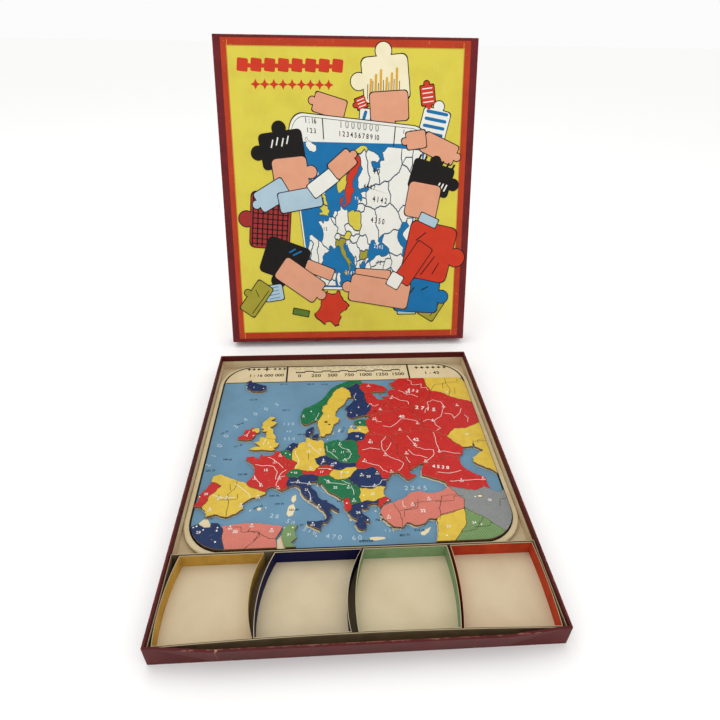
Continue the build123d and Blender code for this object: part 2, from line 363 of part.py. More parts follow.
# Each node lists its sawn pieces, and each piece the lines round it; a minus takes a line backwards.
PIECES = {
    "iceland": ["iceland_sea"],
    "ireland": ["ireland_sea ulster_border"],
    "northern_ireland": ["ulster_border ulster_sea"],
    "great_britain": ["britain_seam north_britain_sea", "south_britain_sea -britain_seam"],
    "norway": ["norway_sea -norway_kola -norway_finland norway_sweden"],
    "sweden": ["sweden_finland sweden_sea -norway_sweden"],
    "finland": ["sweden_finland finland_sea finland_russia -norway_finland"],
    "denmark": ["jutland_sea -jutland_foot", "zealand_sea"],
    "estonia": ["estonia_sea estonia_russia -estonia_latvia"],
    "latvia": ["latvia_sea estonia_latvia latvia_russia -latvia_lithuania"],
    "lithuania": ["lithuania_sea latvia_lithuania lithuania_russia -poland_lithuania"],
    "poland": ["poland_sea poland_lithuania poland_russia -bohemia_poland -germany_poland"],
    "germany": ["germany_north_sea jutland_foot germany_east_sea germany_poland -germany_bohemia -germany_austria "
                "-germany_switzerland -germany_france -belgium_germany -germany_holland"],
    "netherlands": ["holland_sea germany_holland -holland_belgium"],
    "belgium": ["belgium_sea holland_belgium belgium_germany belgium_france"],
    "france": ["france_north_sea -belgium_france germany_france switzerland_france italy_france "
               "-france_south_sea -france_spain"],
    "switzerland": ["germany_switzerland switzerland_austria -switzerland_italy -switzerland_france"],
    "austria": ["germany_austria -bohemia_austria -austria_hungary -austria_yugoslavia -austria_italy "
                "-switzerland_austria"],
    "czechoslovakia": ["germany_bohemia bohemia_poland bohemia_russia bohemia_hungary bohemia_austria"],
    "hungary": ["bohemia_hungary -austria_hungary -hungary_yugoslavia -hungary_romania -hungary_russia"],
    "romania": ["romania_russia romania_sea romania_bulgaria romania_yugoslavia -hungary_romania"],
    "italy": ["switzerland_italy austria_italy yugoslavia_italy -italy_sea -italy_france"],
    "yugoslavia": ["austria_yugoslavia -hungary_yugoslavia -romania_yugoslavia -yugoslavia_bulgaria "
                   "-yugoslavia_greece -yugoslavia_albania -yugoslavia_sea -yugoslavia_italy"],
    "albania": ["yugoslavia_albania albania_greece -albania_sea"],
    "greece": ["yugoslavia_greece -bulgaria_greece -thrace_greece greece_sea -albania_greece"],
    "bulgaria": ["romania_bulgaria -yugoslavia_bulgaria -bulgaria_greece -bulgaria_thrace -bulgaria_sea"],
    "turkey_in_europe": ["bulgaria_thrace -thrace_greece -thrace_sea"],
    "spain": ["spain_north_west spain_seam -spain_west_sea -spain_portugal",
              "spain_north_east france_spain -spain_east_sea -spain_seam"],
    "portugal": ["spain_portugal -portugal_sea"],
    "morocco": ["morocco_sea morocco_edge -morocco_algeria"],
    "algeria": ["algeria_sea_west algeria_seam_north algeria_seam_south -algeria_foot_west -morocco_algeria",
                "algeria_sea_east algeria_north_east -algeria_seam_east -algeria_seam_north",
                "algeria_seam_east algeria_south_east -algeria_foot_east -algeria_seam_south"],
    "tunisia": ["tunisia_sea tunisia_gulf tunisia_west"],
    "asia_minor": ["turkey_north_east -turkey_persia_north -turkey_seam_last -turkey_seam_middle "
                   "-turkey_seam_first",
                   "turkey_north_west turkey_seam_first turkey_seam_west -turkey_west_sea",
                   "turkey_seam_middle turkey_seam_east -turkey_syria_west -turkey_south_sea "
                   "-turkey_seam_west",
                   "turkey_seam_last -turkey_persia -turkey_syria_east -turkey_seam_east"],
    "syria": ["turkey_syria_west turkey_syria_east syria_iraq_north syria_iraq_south -syria_foot -syria_sea"],
    "iraq": ["syria_iraq_north iraq_seam iraq_persia_north",
             "syria_iraq_south iraq_foot iraq_persia_south -iraq_seam"],
    "iran": ["turkey_persia turkey_persia_north -persia_russia -persia_sea -persia_edge "
             "iraq_persia_south iraq_persia_north"],
    "siberia": ["siberia_top siberia_seam siberia_seam_south -urals_north",
                "siberia_seam_south urals_middle -siberia_cross",
                "siberia_corner siberia_side -urals_south -siberia_cross -siberia_seam"],
    "kazakhstan": ["steppe_north steppe_west steppe_sea steppe_seam -steppe_side"],
    "transcaspia": ["steppe_seam caspian_side -caspian_shore"],
    "russia_north": ["lapland_sea dvina_seam -lapland_seam finland_russia norway_kola",
                     "dvina_sea arctic_edge urals_north -volga_north -centre_north -dvina_seam"],
    "russia_centre": ["gulf_sea lapland_seam centre_north volga_seam -centre_south -centre_west -latvia_russia "
                      "-estonia_russia",
                      "volga_north urals_middle urals_south volga_side steppe_north -volga_south -volga_seam"],
    "russia_west": ["centre_west ukraine_seam -ukraine_sea -romania_russia -hungary_russia -bohemia_russia "
                    "-poland_russia -lithuania_russia"],
    "russia_south": ["centre_south volga_south steppe_west volga_mouth -don_seam -azov_sea -ukraine_seam",
                     "don_seam caspian_west persia_russia -caucasus_sea"],
}


def ring(names):
    """Joins lines end to end into one closed outline."""
    points = []
    for name in names.split():
        line = LINES[name.lstrip("-")]
        line = line[::-1] if name.startswith("-") else line
        if points and math.dist(points[-1], line[0]) > 0.01:
            raise ValueError(f"{name} does not start where the line before it ends")
        points += line[1:] if points else line
    if math.dist(points[0], points[-1]) > 0.01:
        raise ValueError(f"{names} does not close")
    return points[:-1]


def inset(points, distance):
    """Draws a closed outline in by a distance, with the tips of very sharp corners cut short."""
    count = len(points)
    area = sum(points[i - 1][0] * points[i][1] - points[i][0] * points[i - 1][1] for i in range(count))
    side = math.copysign(1.0, area)
    result = []
    for i in range(count):
        before, here, after = points[i - 1], points[i], points[(i + 1) % count]
        first = math.atan2(here[1] - before[1], here[0] - before[0])
        second = math.atan2(after[1] - here[1], after[0] - here[0])
        half = math.remainder(second - first, math.tau) / 2
        reach = distance / max(math.cos(half), 0.35)
        normal = first + half + side * math.pi / 2
        result.append((here[0] + reach * math.cos(normal), here[1] + reach * math.sin(normal)))
    return result


def prism(points, bottom, height):
    """An upright prism on a closed outline."""
    face = make_face(Polyline(*points, close=True))
    return Pos(0, 0, bottom) * extrude(face, height)


def slab(width, length, bottom, top, corner=0.0):
    """A flat or tall block about the origin, with its upright corners rounded."""
    outline = RectangleRounded(width, length, corner) if corner else Rectangle(width, length)
    return Pos(0, 0, bottom) * extrude(outline, top - bottom)


def sag_wedge(front, bottom, top):
    """The space that the tray's front wall takes as it leans out, between two levels."""
    foot_left, foot_right = (-SAG_FLAT, 0, 0), (SAG_FLAT, 0, 0)
    end_left, end_right = (-SAG_END, 0, TRAY_HEIGHT), (SAG_END, 0, TRAY_HEIGHT)
    out_left, out_right = (-SAG_FLAT, -FRONT_SAG, TRAY_HEIGHT), (SAG_FLAT, -FRONT_SAG, TRAY_HEIGHT)
    sides = ([foot_left, foot_right, end_right, end_left], [end_left, end_right, out_right, out_left],
             [foot_left, out_left, out_right, foot_right], [foot_right, out_right, end_right],
             [foot_left, end_left, out_left])
    wedge = Solid(Shell([Face(Wire.make_polygon(side, close=True)) for side in sides]))
    layer = Pos(0, 0, bottom) * extrude(Rectangle(2 * SAG_END + 10, 4 * FRONT_SAG), top - bottom)
    return Pos(0, -front, 0) * (layer & wedge)


def block(width, length, bottom, top, corner=0.0, sagged=False):
    """A slab, and for the tray also the wedge in front of it."""
    shape = slab(width, length, bottom, top, corner)
    return shape + sag_wedge(length / 2, bottom, top) if sagged else shape


def shell_board(width, length, height, sagged=False):
    """The folded greyboard of a shell, pressed in at the corners for the paper stays."""
    outside = block(width - 2 * PAPER, length - 2 * PAPER, PAPER, height - PAPER, CORNER_ROUND - PAPER, sagged)
    margin = 2 * (PAPER + BOARD_THICKNESS)
    hollow = block(width - margin, length - margin, PAPER + BOARD_THICKNESS, height, 0, sagged)
    return outside - hollow - shell_stays(width, length, height)


def shell_stays(width, length, height):
    """Paper stays bent round the four upright corners."""
    outside = slab(width - 2 * PAPER, length - 2 * PAPER, PAPER, height - PAPER, CORNER_ROUND - PAPER)
    margin = 2 * (PAPER + STAY_THICKNESS)
    inner_round = CORNER_ROUND - PAPER - STAY_THICKNESS
    ring_of_paper = outside - slab(width - margin, length - margin, 0, height, inner_round)
    across = slab(width - 2 * STAY_LEG, length + 2, 0, height)
    along = slab(width + 2, length - 2 * STAY_LEG, 0, height)
    return ring_of_paper - across - along


def shell_wrap(width, length, height, bottom, sagged=False):
    """Paper round the outside, over the rim and turned down inside it; bottom 0 closes the face."""
    outside = block(width, length, bottom, height, CORNER_ROUND, sagged)
    board = block(width - 2 * PAPER, length - 2 * PAPER, PAPER, height - PAPER, CORNER_ROUND - PAPER, sagged)
    wall = 2 * (PAPER + BOARD_THICKNESS)
    turned = block(width - wall, length - wall, height - PAPER - TURN_IN, height, 0, sagged)
    opening = block(width - 2 * WALL, length - 2 * WALL, height - PAPER - TURN_IN, height, 0, sagged)
    return outside - board + (turned - opening) - opening


def shell_lining(width, length, height, sagged=False):
    """Paper on the floor and up the walls to the lower edge of the turned-in wrap."""
    wall = 2 * (PAPER + BOARD_THICKNESS)
    outside = block(width - wall, length - wall, PAPER + BOARD_THICKNESS, height - PAPER - TURN_IN, 0, sagged)
    return outside - block(width - 2 * WALL, length - 2 * WALL, FLOOR_Z, height, 0, sagged)


def stand_lid(shape):
    """Stands a lid part up on its rear rim, its face towards the front and leaning back."""
    lean = math.radians(LID_LEAN)
    forward = TRAY_LENGTH / 2 + LID_STAND_OFF + LID_LENGTH / 2 * math.sin(lean)
    up = LID_LENGTH / 2 * math.cos(lean) + LID_DEPTH * math.sin(lean) + LID_FLOOR_GAP
    return Pos(LID_SIDE_SHIFT, forward, up) * Rot(-90 - LID_LEAN, 0, 0) * shape


def lid_label():
    """The printed label on the lid's face; its top is at the lid's -Y side before it is stood up."""
    width = LID_WIDTH - 2 * LABEL_SIDE_MARGIN
    length = LID_LENGTH - LABEL_TOP_MARGIN - LABEL_FOOT_MARGIN
    shift = (LABEL_TOP_MARGIN - LABEL_FOOT_MARGIN) / 2
    return Pos(0, shift, 0) * slab(width, length, -PAPER, 0)


def bow_at(x):
    """How far the insert's front wall stands inwards at a place across it."""
    return INSERT_BOW * (1 - (x / INSERT_HALF_WIDTH) ** 2)


def insert_outline(margin):
    """The insert's plan, with its front wall bowed inwards."""
    left = -INSERT_HALF_WIDTH + margin
    right = INSERT_HALF_WIDTH - margin
    back = INSERT_BACK - margin
    front = INSERT_FRONT + margin
    sides = Polyline((right, front), (right, back), (left, back), (left, front))
    bow = ThreePointArc((left, front), (0, front + INSERT_BOW), (right, front))
    return make_face(sides + bow)


def insert_tray():
    """An open card tray."""
    outside = Pos(0, 0, FLOOR_Z) * extrude(insert_outline(0), INSERT_HEIGHT)
    return outside - Pos(0, 0, FLOOR_Z + INSERT_CARD) * extrude(insert_outline(INSERT_CARD), INSERT_HEIGHT)


def box_outline(place, shape, margin):
    """A sorting box's plan: straight back and front, side walls sprung into a curve."""
    quarter = (INSERT_HALF_WIDTH - INSERT_CARD) / 2
    left = (place - 2) * quarter + margin
    right = (place - 1) * quarter - margin
    back_left, back_right, front_left, front_right, middle_left, middle_right = shape
    back = INSERT_BACK - INSERT_CARD - BOX_END_GAP - margin
    base = INSERT_FRONT + INSERT_CARD + BOX_END_GAP + margin
    left_front = (left + front_left, base + bow_at(left + front_left - margin))
    right_front = (right + front_right, base + bow_at(right + front_right + margin))
    left_back = (left + back_left, back)
    right_back = (right + back_right, back)
    middle = (back + base) / 2
    walls = [
        Line(left_front, right_front),
        ThreePointArc(right_front, (right + middle_right, middle), right_back),
        Line(right_back, left_back),
        ThreePointArc(left_back, (left + middle_left, middle), left_front),
    ]
    return make_face(walls)


def sorting_box(place, shape):
    """A folded card box standing in the insert."""
    bottom = FLOOR_Z + INSERT_CARD
    outside = Pos(0, 0, bottom) * extrude(box_outline(place, shape, 0), BOX_HEIGHT)
    hollow = Pos(0, 0, bottom + BOX_CARD) * extrude(box_outline(place, shape, BOX_CARD), BOX_HEIGHT)
    return outside - hollow


def map_plate(margin, thickness):
    """A plate with the map board's plan, drawn in by a margin."""
    width = 2 * (MAP_HALF_WIDTH - margin)
    length = MAP_TOP - MAP_FOOT - 2 * margin
    outline = RectangleRounded(width, length, MAP_CORNER - margin)
    return Pos(0, (MAP_TOP + MAP_FOOT) / 2, 0) * extrude(outline, thickness)


def map_board():
    """The thick board with its upper edge rubbed round."""
    board = map_plate(0, MAP_BOARD_THICKNESS)
    upper = board.faces().sort_by(Axis.Z)[-1].edges()
    return Pos(0, 0, FLOOR_Z) * fillet(upper, MAP_EDGE_ROUND)


def sawn_pieces(rings):
    """The pieces of one node, each drawn in by half the saw kerf."""
    solids = [prism(inset(ring(names), SAW_KERF / 2), MAP_FACE_Z, PIECE_THICKNESS) for names in rings]
    return Compound(children=[solid.solid() for solid in solids]) if len(solids) > 1 else solids[0]


def build():
    """Every node of the assembly by name."""
    tray = (TRAY_WIDTH, TRAY_LENGTH, TRAY_HEIGHT)
    lid = (LID_WIDTH, LID_LENGTH, LID_DEPTH)
    nodes = {
        "tray_base_paper": slab(TRAY_WIDTH, TRAY_LENGTH, 0, PAPER, CORNER_ROUND),
        "tray_board": shell_board(*tray, sagged=True),
        "tray_corner_stays": shell_stays(*tray),
        "tray_wrap": shell_wrap(*tray, PAPER, sagged=True),
        "tray_lining": shell_lining(*tray, sagged=True),
        "lid_board": stand_lid(shell_board(*lid)),
        "lid_corner_stays": stand_lid(shell_stays(*lid)),
        "lid_wrap": stand_lid(shell_wrap(*lid, 0)),
        "lid_lining": stand_lid(shell_lining(*lid)),
        "lid_label": stand_lid(lid_label()),
        "insert_tray": insert_tray(),
        "map_board": map_board(),
        "map_print": Pos(0, 0, FLOOR_Z + MAP_BOARD_THICKNESS) * map_plate(SHEET_INSET, PAPER),
    }
    for place, (name, shape) in enumerate(BOX_SHAPES.items()):
        nodes[name] = sorting_box(place, shape)
    for name, rings in PIECES.items():
        nodes[name] = sawn_pieces(rings)
    return nodes


os.makedirs("parts", exist_ok=True)
for node_name, node_shape in build().items():
    export_step(node_shape, f"parts/{node_name}.step")
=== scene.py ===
# %% [markdown]
# # A boxed jigsaw map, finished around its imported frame
#
# The tray, its lid, the card insert, the four sorting boxes, the map board and every sawn piece come
# from the frame as solids of the right size in the right place. What is still missing is everything
# printed, painted, pasted and worn. We load the frame first and keep its box, so that at the end we can
# show that nothing we add makes the object bigger.

# %% Load the frame
import json
import math
import random

import bmesh
import bpy
from mathutils import Matrix, Vector


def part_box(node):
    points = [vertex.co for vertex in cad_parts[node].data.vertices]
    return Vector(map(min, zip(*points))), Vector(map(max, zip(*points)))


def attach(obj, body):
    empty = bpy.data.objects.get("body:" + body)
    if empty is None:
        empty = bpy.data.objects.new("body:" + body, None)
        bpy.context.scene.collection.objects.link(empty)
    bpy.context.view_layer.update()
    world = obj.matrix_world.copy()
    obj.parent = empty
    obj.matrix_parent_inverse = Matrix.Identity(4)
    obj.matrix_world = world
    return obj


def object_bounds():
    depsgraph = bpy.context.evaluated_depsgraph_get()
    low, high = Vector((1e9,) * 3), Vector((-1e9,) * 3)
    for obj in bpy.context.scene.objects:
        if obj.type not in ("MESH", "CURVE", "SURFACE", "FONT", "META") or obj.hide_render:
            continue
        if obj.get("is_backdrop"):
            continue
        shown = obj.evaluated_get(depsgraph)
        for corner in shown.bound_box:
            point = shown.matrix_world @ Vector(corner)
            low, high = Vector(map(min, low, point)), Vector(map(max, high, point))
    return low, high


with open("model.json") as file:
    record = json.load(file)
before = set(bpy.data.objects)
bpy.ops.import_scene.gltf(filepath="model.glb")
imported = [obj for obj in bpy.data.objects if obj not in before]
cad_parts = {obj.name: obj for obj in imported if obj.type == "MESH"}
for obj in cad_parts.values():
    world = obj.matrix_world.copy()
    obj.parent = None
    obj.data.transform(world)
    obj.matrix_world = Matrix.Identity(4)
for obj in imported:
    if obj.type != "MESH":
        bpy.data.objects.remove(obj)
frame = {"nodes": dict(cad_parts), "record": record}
cad_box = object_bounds()
MM = 0.001


def into_scene(name, data):
    """A new object that holds some data and belongs to the scene."""
    holder = bpy.data.objects.new(name, data)
    bpy.context.scene.collection.objects.link(holder)
    return holder


# %% [markdown]
# ## The camera
#
# A hand-held camera a little above the box, with a short lens, looks down on the tray and the standing
# lid. Its axes are worked out from three angles: how far it tips down, how far it turns to one side and
# how far it leans. A lens of about 27 mm on a 36 mm sensor gives the strong perspective of the near tray.

# %% Camera
CAMERA_PLACE = Vector((-21.53, -411.7, 433.2)) * MM
TIP, TURN, TILT = math.radians(34.63), math.radians(-4.10), math.radians(1.221)

ahead = Vector((-math.sin(TURN) * math.cos(TIP), math.cos(TURN) * math.cos(TIP), -math.sin(TIP)))
level = Vector((math.cos(TURN), math.sin(TURN), 0))
upward = level.cross(ahead)
right = math.cos(TILT) * level + math.sin(TILT) * upward
up = math.cos(TILT) * upward - math.sin(TILT) * level

lens = bpy.data.cameras.new("camera")
lens.sensor_width = 36.0
lens.lens = 26.57
lens.clip_start = 0.01
camera = into_scene("camera", lens)
turned = Matrix((right, up, -ahead)).transposed().to_4x4()
camera.matrix_world = Matrix.Translation(CAMERA_PLACE) @ turned
bpy.context.scene.camera = camera
print("the camera stands", round(CAMERA_PLACE.z, 3), "m above the floor")

# %% [markdown]
# ## Colours and nodes
#
# A finish is a small tree of nodes. One function adds a node together with its settings and whatever
# feeds it, so that a finish reads as a list of steps. Colours are written as they look on a screen and
# are turned into the linear values that light adds up in. Patterns read the object's own coordinates,
# which are in metres, so each one can be given a real size.

# %% Colours and nodes
def hexed(code, alpha=1.0):
    """A colour picked on a screen, as the linear values that the shaders work in."""
    parts = [int(code[i:i + 2], 16) / 255 for i in (1, 3, 5)]
    return (*[p / 12.92 if p <= 0.04045 else ((p + 0.055) / 1.055) ** 2.4 for p in parts], alpha)


def add(tree, kind, inputs=None, **settings):
    """Adds one shader node, with its settings, and with values, colours or links for its inputs."""
    node = tree.nodes.new("ShaderNode" + kind)
    for name, value in settings.items():
        setattr(node, name, value)
    for name, value in (inputs or {}).items():
        if isinstance(value, bpy.types.NodeSocket):
            tree.links.new(value, node.inputs[name])
        else:
            node.inputs[name].default_value = hexed(value) if isinstance(value, str) else value
    return node


def finish_start(name, roughness=0.8, gloss=0.15, ior=1.5):
    """A new material with its shader, and the object's own coordinates in metres."""
    material = bpy.data.materials.new(name)
    material.use_nodes = True
    tree = material.node_tree
    shader = tree.nodes["Principled BSDF"]
    shader.inputs["Roughness"].default_value = roughness
    shader.inputs["IOR"].default_value = ior
    shader.inputs["Specular IOR Level"].default_value = gloss
    return material, tree, shader, add(tree, "TexCoord").outputs["Object"]


print("pure white stays", hexed("#FFFFFF")[0], "and middle grey becomes", round(hexed("#808080")[0], 3))

# %% [markdown]
# ## Floor and light
#
# The box stands on a plain white ground. A wide lamp overhead and a second one low in front give the
# soft, nearly even light of a room, with a gentle shadow under the rims. The sky is plain white too, so
# that the sides which face away from the lamps are not black.

# %% Floor and lamps
def lamp(name, place, target, size, power):
    """A square area lamp that looks at a target."""
    light = bpy.data.lights.new(name, "AREA")
    light.size = size
    light.energy = power
    holder = into_scene(name, light)
    way = Vector(target) - Vector(place)
    holder.matrix_world = Matrix.Translation(place) @ way.to_track_quat("-Z", "Y").to_matrix().to_4x4()


lamp("overhead_lamp", (-0.3, 0.5, 1.6), (0.0, 0.1, 0.0), 1.2, 5.0)
lamp("front_lamp", (0.5, -1.6, 1.3), (0.0, 0.25, 0.15), 1.4, 3.0)

world = bpy.data.worlds.new("pale_room")
bpy.context.scene.world = world
world.use_nodes = True
sky = world.node_tree.nodes["Background"]
sky.inputs["Color"].default_value = hexed("#FFFFFF")
sky.inputs["Strength"].default_value = 0.97
bpy.context.scene.view_settings.view_transform = "Standard"

ground = bmesh.new()
bmesh.ops.create_grid(ground, x_segments=1, y_segments=1, size=6.0)
floor_mesh = bpy.data.meshes.new("floor")
ground.to_mesh(floor_mesh)
ground.free()
floor = into_scene("floor", floor_mesh)
floor_paint, _, floor_shader, _ = finish_start("matt_white_ground", 0.9)
floor_shader.inputs["Base Color"].default_value = hexed("#FDFDFC")
floor_mesh.materials.append(floor_paint)
floor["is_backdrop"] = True
print("the floor is", round(floor.dimensions.x), "m wide")

# %% [markdown]
# ## Paper and card: what every finish here starts from
#
# Nearly everything is paper over board. Paper is never one flat colour: it is mottled where the pulp is
# uneven and where hands have been, and it is speckled with fibres a few tenths of a millimetre long. So
# one helper makes that mottled colour, and each paper gives it its own tones and sizes. Paper has an
# index of refraction near 1.5 and is rough, from about 0.6 for a varnished print to 0.9 for bare board.

# %% Mottled paper
def noise_mask(tree, place, size_mm, low, high, most=1.0, detail=3.0):
    """Patches of about a size: 0 where the noise is under one level and `most` where it is over another."""
    noise = add(tree, "TexNoise", {"Vector": place, "Scale": 1 / (size_mm * MM), "Detail": detail})
    spread = add(tree, "MapRange", {"Value": noise.outputs["Fac"], "From Min": low, "From Max": high,
                                              "To Max": most})
    return spread.outputs["Result"]


def paper_colour(tree, place, tone, dark, patch_mm=14.0, fibre_mm=0.7, strength=0.5):
    """A tone with soft darker patches, and fine fibres that are drawn a little coarser than real ones."""
    patches = noise_mask(tree, place, patch_mm, 0.42, 0.75, strength)
    fibres = noise_mask(tree, place, fibre_mm, 0.5, 0.8, strength * 0.5, 1.0)
    mottled = add(tree, "Mix", {0: patches, 6: tone, 7: dark}, data_type="RGBA").outputs[2]
    return add(tree, "Mix", {0: fibres, 6: mottled, 7: dark}, data_type="RGBA").outputs[2]


def paper_bump(tree, shader, place, size_mm=0.5, depth_mm=0.04, strength=0.35):
    """A slight roughness of the surface, of a given grain."""
    grain = add(tree, "TexNoise", {"Vector": place, "Scale": 1 / (size_mm * MM), "Detail": 3.0})
    bump = add(tree, "Bump", {"Height": grain.outputs["Fac"], "Distance": depth_mm * MM,
                                        "Strength": strength})
    tree.links.new(bump.outputs["Normal"], shader.inputs["Normal"])


def plain_paper(name, tone, dark, roughness=0.8, **looks):
    """A whole finish of one mottled tone."""
    material, tree, shader, place = finish_start(name, roughness)
    tree.links.new(paper_colour(tree, place, tone, dark, **looks), shader.inputs["Base Color"])
    paper_bump(tree, shader, place)
    return material


def wear(node_name, material):
    """Gives a CAD node its finish."""
    slots = frame["nodes"][node_name].data.materials
    for i in range(len(slots)):
        slots[i] = material
    if not len(slots):
        slots.append(material)


# Greyboard is pressed from waste paper, so it is dull and speckled. The lining has yellowed in wide
# clouds, and the gummed paper of the stays is smooth and tan.
greyboard = plain_paper("pressed_greyboard", "#9A8C78", "#7D705E", 0.9)
lining = plain_paper("cream_lining_paper", "#D3C2A0", "#B89F78", 0.85, patch_mm=30.0, strength=0.55)
stay_paper = plain_paper("gummed_stay_paper", "#C9AE82", "#A88D62", 0.8)
for node_name in ("tray_board", "lid_board"):
    wear(node_name, greyboard)
for node_name in ("tray_lining", "lid_lining"):
    wear(node_name, lining)
for node_name in ("tray_corner_stays", "lid_corner_stays"):
    wear(node_name, stay_paper)
print("board, lining and corner stays have their finishes")

# %% [markdown]
# ## The burgundy wrap, rubbed at its edges
#
# The shells are wrapped in a dark red paper. Rubbing on a shelf takes the colour off first where two
# faces meet, so the rims and upright corners show a broken pale line. The mask for that is made from
# distances: how far a point lies inside each of the shell's three pairs of faces. The smallest of the
# three is nearly 0 anywhere on the shell, so it is the middle one that is small only at an edge. The lid
# stands up, so its coordinates are first turned back with a Mapping node.

# %% Wrap with worn edges
LID_LEAN = math.radians(18.5)
LID_DEPTH = 26.0 * MM
RUBBED = 2.2 * MM  # how far in from an edge the colour can be gone


def wrap_finish(name, centre, half, turn, tone, dark):
    """Dark red paper for a shell whose box has this centre and these half sizes, once turned back.

    It is a dyed and coated paper, so it has a low sheen, and where it is rubbed its pale core shows.
    """
    material, tree, shader, place = finish_start(name, 0.55, 0.2)
    back = add(tree, "Mapping", {"Vector": place, "Location": centre, "Rotation": (turn, 0, 0)},
               vector_type="POINT")
    split = add(tree, "SeparateXYZ", {"Vector": back.outputs["Vector"]})
    inside = []
    for axis, size in enumerate(half):
        out = add(tree, "Math", {0: split.outputs[axis]}, operation="ABSOLUTE").outputs[0]
        depth = add(tree, "Math", {0: size, 1: out}, operation="SUBTRACT").outputs[0]
        inside.append(add(tree, "Math", {0: depth}, operation="ABSOLUTE").outputs[0])
    low = add(tree, "Math", {0: inside[0], 1: inside[1]}, operation="MINIMUM").outputs[0]
    high = add(tree, "Math", {0: inside[0], 1: inside[1]}, operation="MAXIMUM").outputs[0]
    under = add(tree, "Math", {0: high, 1: inside[2]}, operation="MINIMUM").outputs[0]
    edge = add(tree, "Math", {0: low, 1: under}, operation="MAXIMUM").outputs[0]
    ragged = noise_mask(tree, place, 5.0, 0.45, 0.75, RUBBED)
    rubbed = add(tree, "MapRange", {"Value": edge, "From Min": ragged, "From Max": 0.0,
                                              "To Min": 0.0, "To Max": 0.8}).outputs["Result"]
    paper = paper_colour(tree, place, tone, dark, patch_mm=22.0, fibre_mm=0.6, strength=0.7)
    scuffs = noise_mask(tree, place, 3.5, 0.66, 0.74, 0.35)
    scuffed = add(tree, "Mix", {0: scuffs, 6: paper, 7: "#7A3A34"}, data_type="RGBA").outputs[2]
    worn = add(tree, "Mix", {0: rubbed, 6: scuffed, 7: "#96604F"}, data_type="RGBA").outputs[2]
    tree.links.new(worn, shader.inputs["Base Color"])
    paper_bump(tree, shader, place, 0.9, 0.05, 0.5)
    return material


tray_low, tray_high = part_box("tray_wrap")
tray_half = ((tray_high.x - tray_low.x) / 2, (tray_high.y - tray_low.y) / 2, tray_high.z / 2)
tray_paper = wrap_finish("burgundy_tray_wrap", (0, 0, -tray_half[2]), tray_half, 0, "#54100F", "#3C0A0B")
wear("tray_wrap", tray_paper)
wear("tray_base_paper", tray_paper)
print("the tray's wrap is", round(2 * tray_half[0] / MM, 1), "by", round(2 * tray_half[2] / MM, 1), "mm")

# %% [markdown]
# The lid's own axes are found from the box round its wrap and the angle that its face leans back by.
# From here on `on_lid(u, v, lift)` gives the place of a point of the lid's face, from the middle of its
# foot: `u` to the right, `v` up the slope and `lift` out of it. The wrap's finish gets the lid's middle
# as it would be if the lid stood upright, because that is where its mapping turns it back to.

# %% The lid's face
lid_low, lid_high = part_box("lid_wrap")
LID_HALF = (lid_high.x - lid_low.x) / 2
LID_LENGTH = 400.0 * MM
SLOPE = Vector((0, math.sin(LID_LEAN), math.cos(LID_LEAN)))
OUT = Vector((0, -math.cos(LID_LEAN), math.sin(LID_LEAN)))
LID_FOOT = Vector(((lid_low.x + lid_high.x) / 2, lid_low.y, lid_low.z + LID_DEPTH * math.sin(LID_LEAN)))


def on_lid(u, v, lift=0.0):
    """A point of the lid's face, in metres, from millimetres across and up it."""
    return LID_FOOT + Vector((u, 0, 0)) * MM + SLOPE * v * MM + OUT * lift * MM


lid_centre = LID_FOOT + SLOPE * LID_LENGTH / 2 - OUT * LID_DEPTH / 2
level_centre = Matrix.Rotation(LID_LEAN, 3, "X") @ lid_centre
lid_paper = wrap_finish("burgundy_lid_wrap", -level_centre, (LID_HALF, LID_DEPTH / 2, LID_LENGTH / 2), LID_LEAN,
                        "#6C1A1E", "#521114")
wear("lid_wrap", lid_paper)
print("the lid's foot is", round(LID_FOOT.z / MM, 1), "mm above the floor")

# %% [markdown]
# ## Making flat printed shapes
#
# Ink and pasted paper lie on top of what they are printed on. Each printed shape is therefore a very
# thin slab, a few hundredths of a millimetre thick, that rides on the same body as the sheet under it.
# A slab starts as one face in a bmesh, which solidify closes, so that it is a real solid when the model
# is exported.

# %% Slabs of ink
INK = 0.03


def make_piece(name, bm, material, body):
    """Turns a bmesh into a named object that rides on a body."""
    mesh = bpy.data.meshes.new(name)
    bm.to_mesh(mesh)
    bm.free()
    mesh.materials.append(material)
    piece = into_scene(name, mesh)
    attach(piece, body)
    return piece


def flat(x, y, lift=0.0):
    """Millimetres on the map sheet, to metres."""
    return Vector((x * MM, y * MM, SHEET_TOP + lift * MM))


def thicken(bm, out=Vector((0, 0, 1))):
    """Turns every flat face outwards and closes it into a thin slab of ink below it."""
    bm.normal_update()
    bmesh.ops.reverse_faces(bm, faces=[face for face in bm.faces if face.normal.dot(out) < 0])
    bmesh.ops.solidify(bm, geom=bm.faces, thickness=INK * MM)


def print_on_map(name, bm, material):
    """Thickens flat shapes and lets them ride on the map board's sheet."""
    thicken(bm)
    make_piece(name, bm, material, "map")


def outline_face(bm, corners):
    """One flat face through corners that are already places in metres."""
    return bm.faces.new([bm.verts.new(corner) for corner in corners])


SHEET_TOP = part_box("map_print")[1].z
print("the printed sheet lies", round(SHEET_TOP / MM, 2), "mm up")

# %% [markdown]
# ## Panels, stars and spots
#
# A printed shape is drawn in millimetres and a placing function puts it on its sheet, so the same panel
# can be laid on the map, on the leaning lid or, tilted, in a corner of either. A panel starts from a grid
# of one square whose corners a bevel rounds, and a star from a small circle.

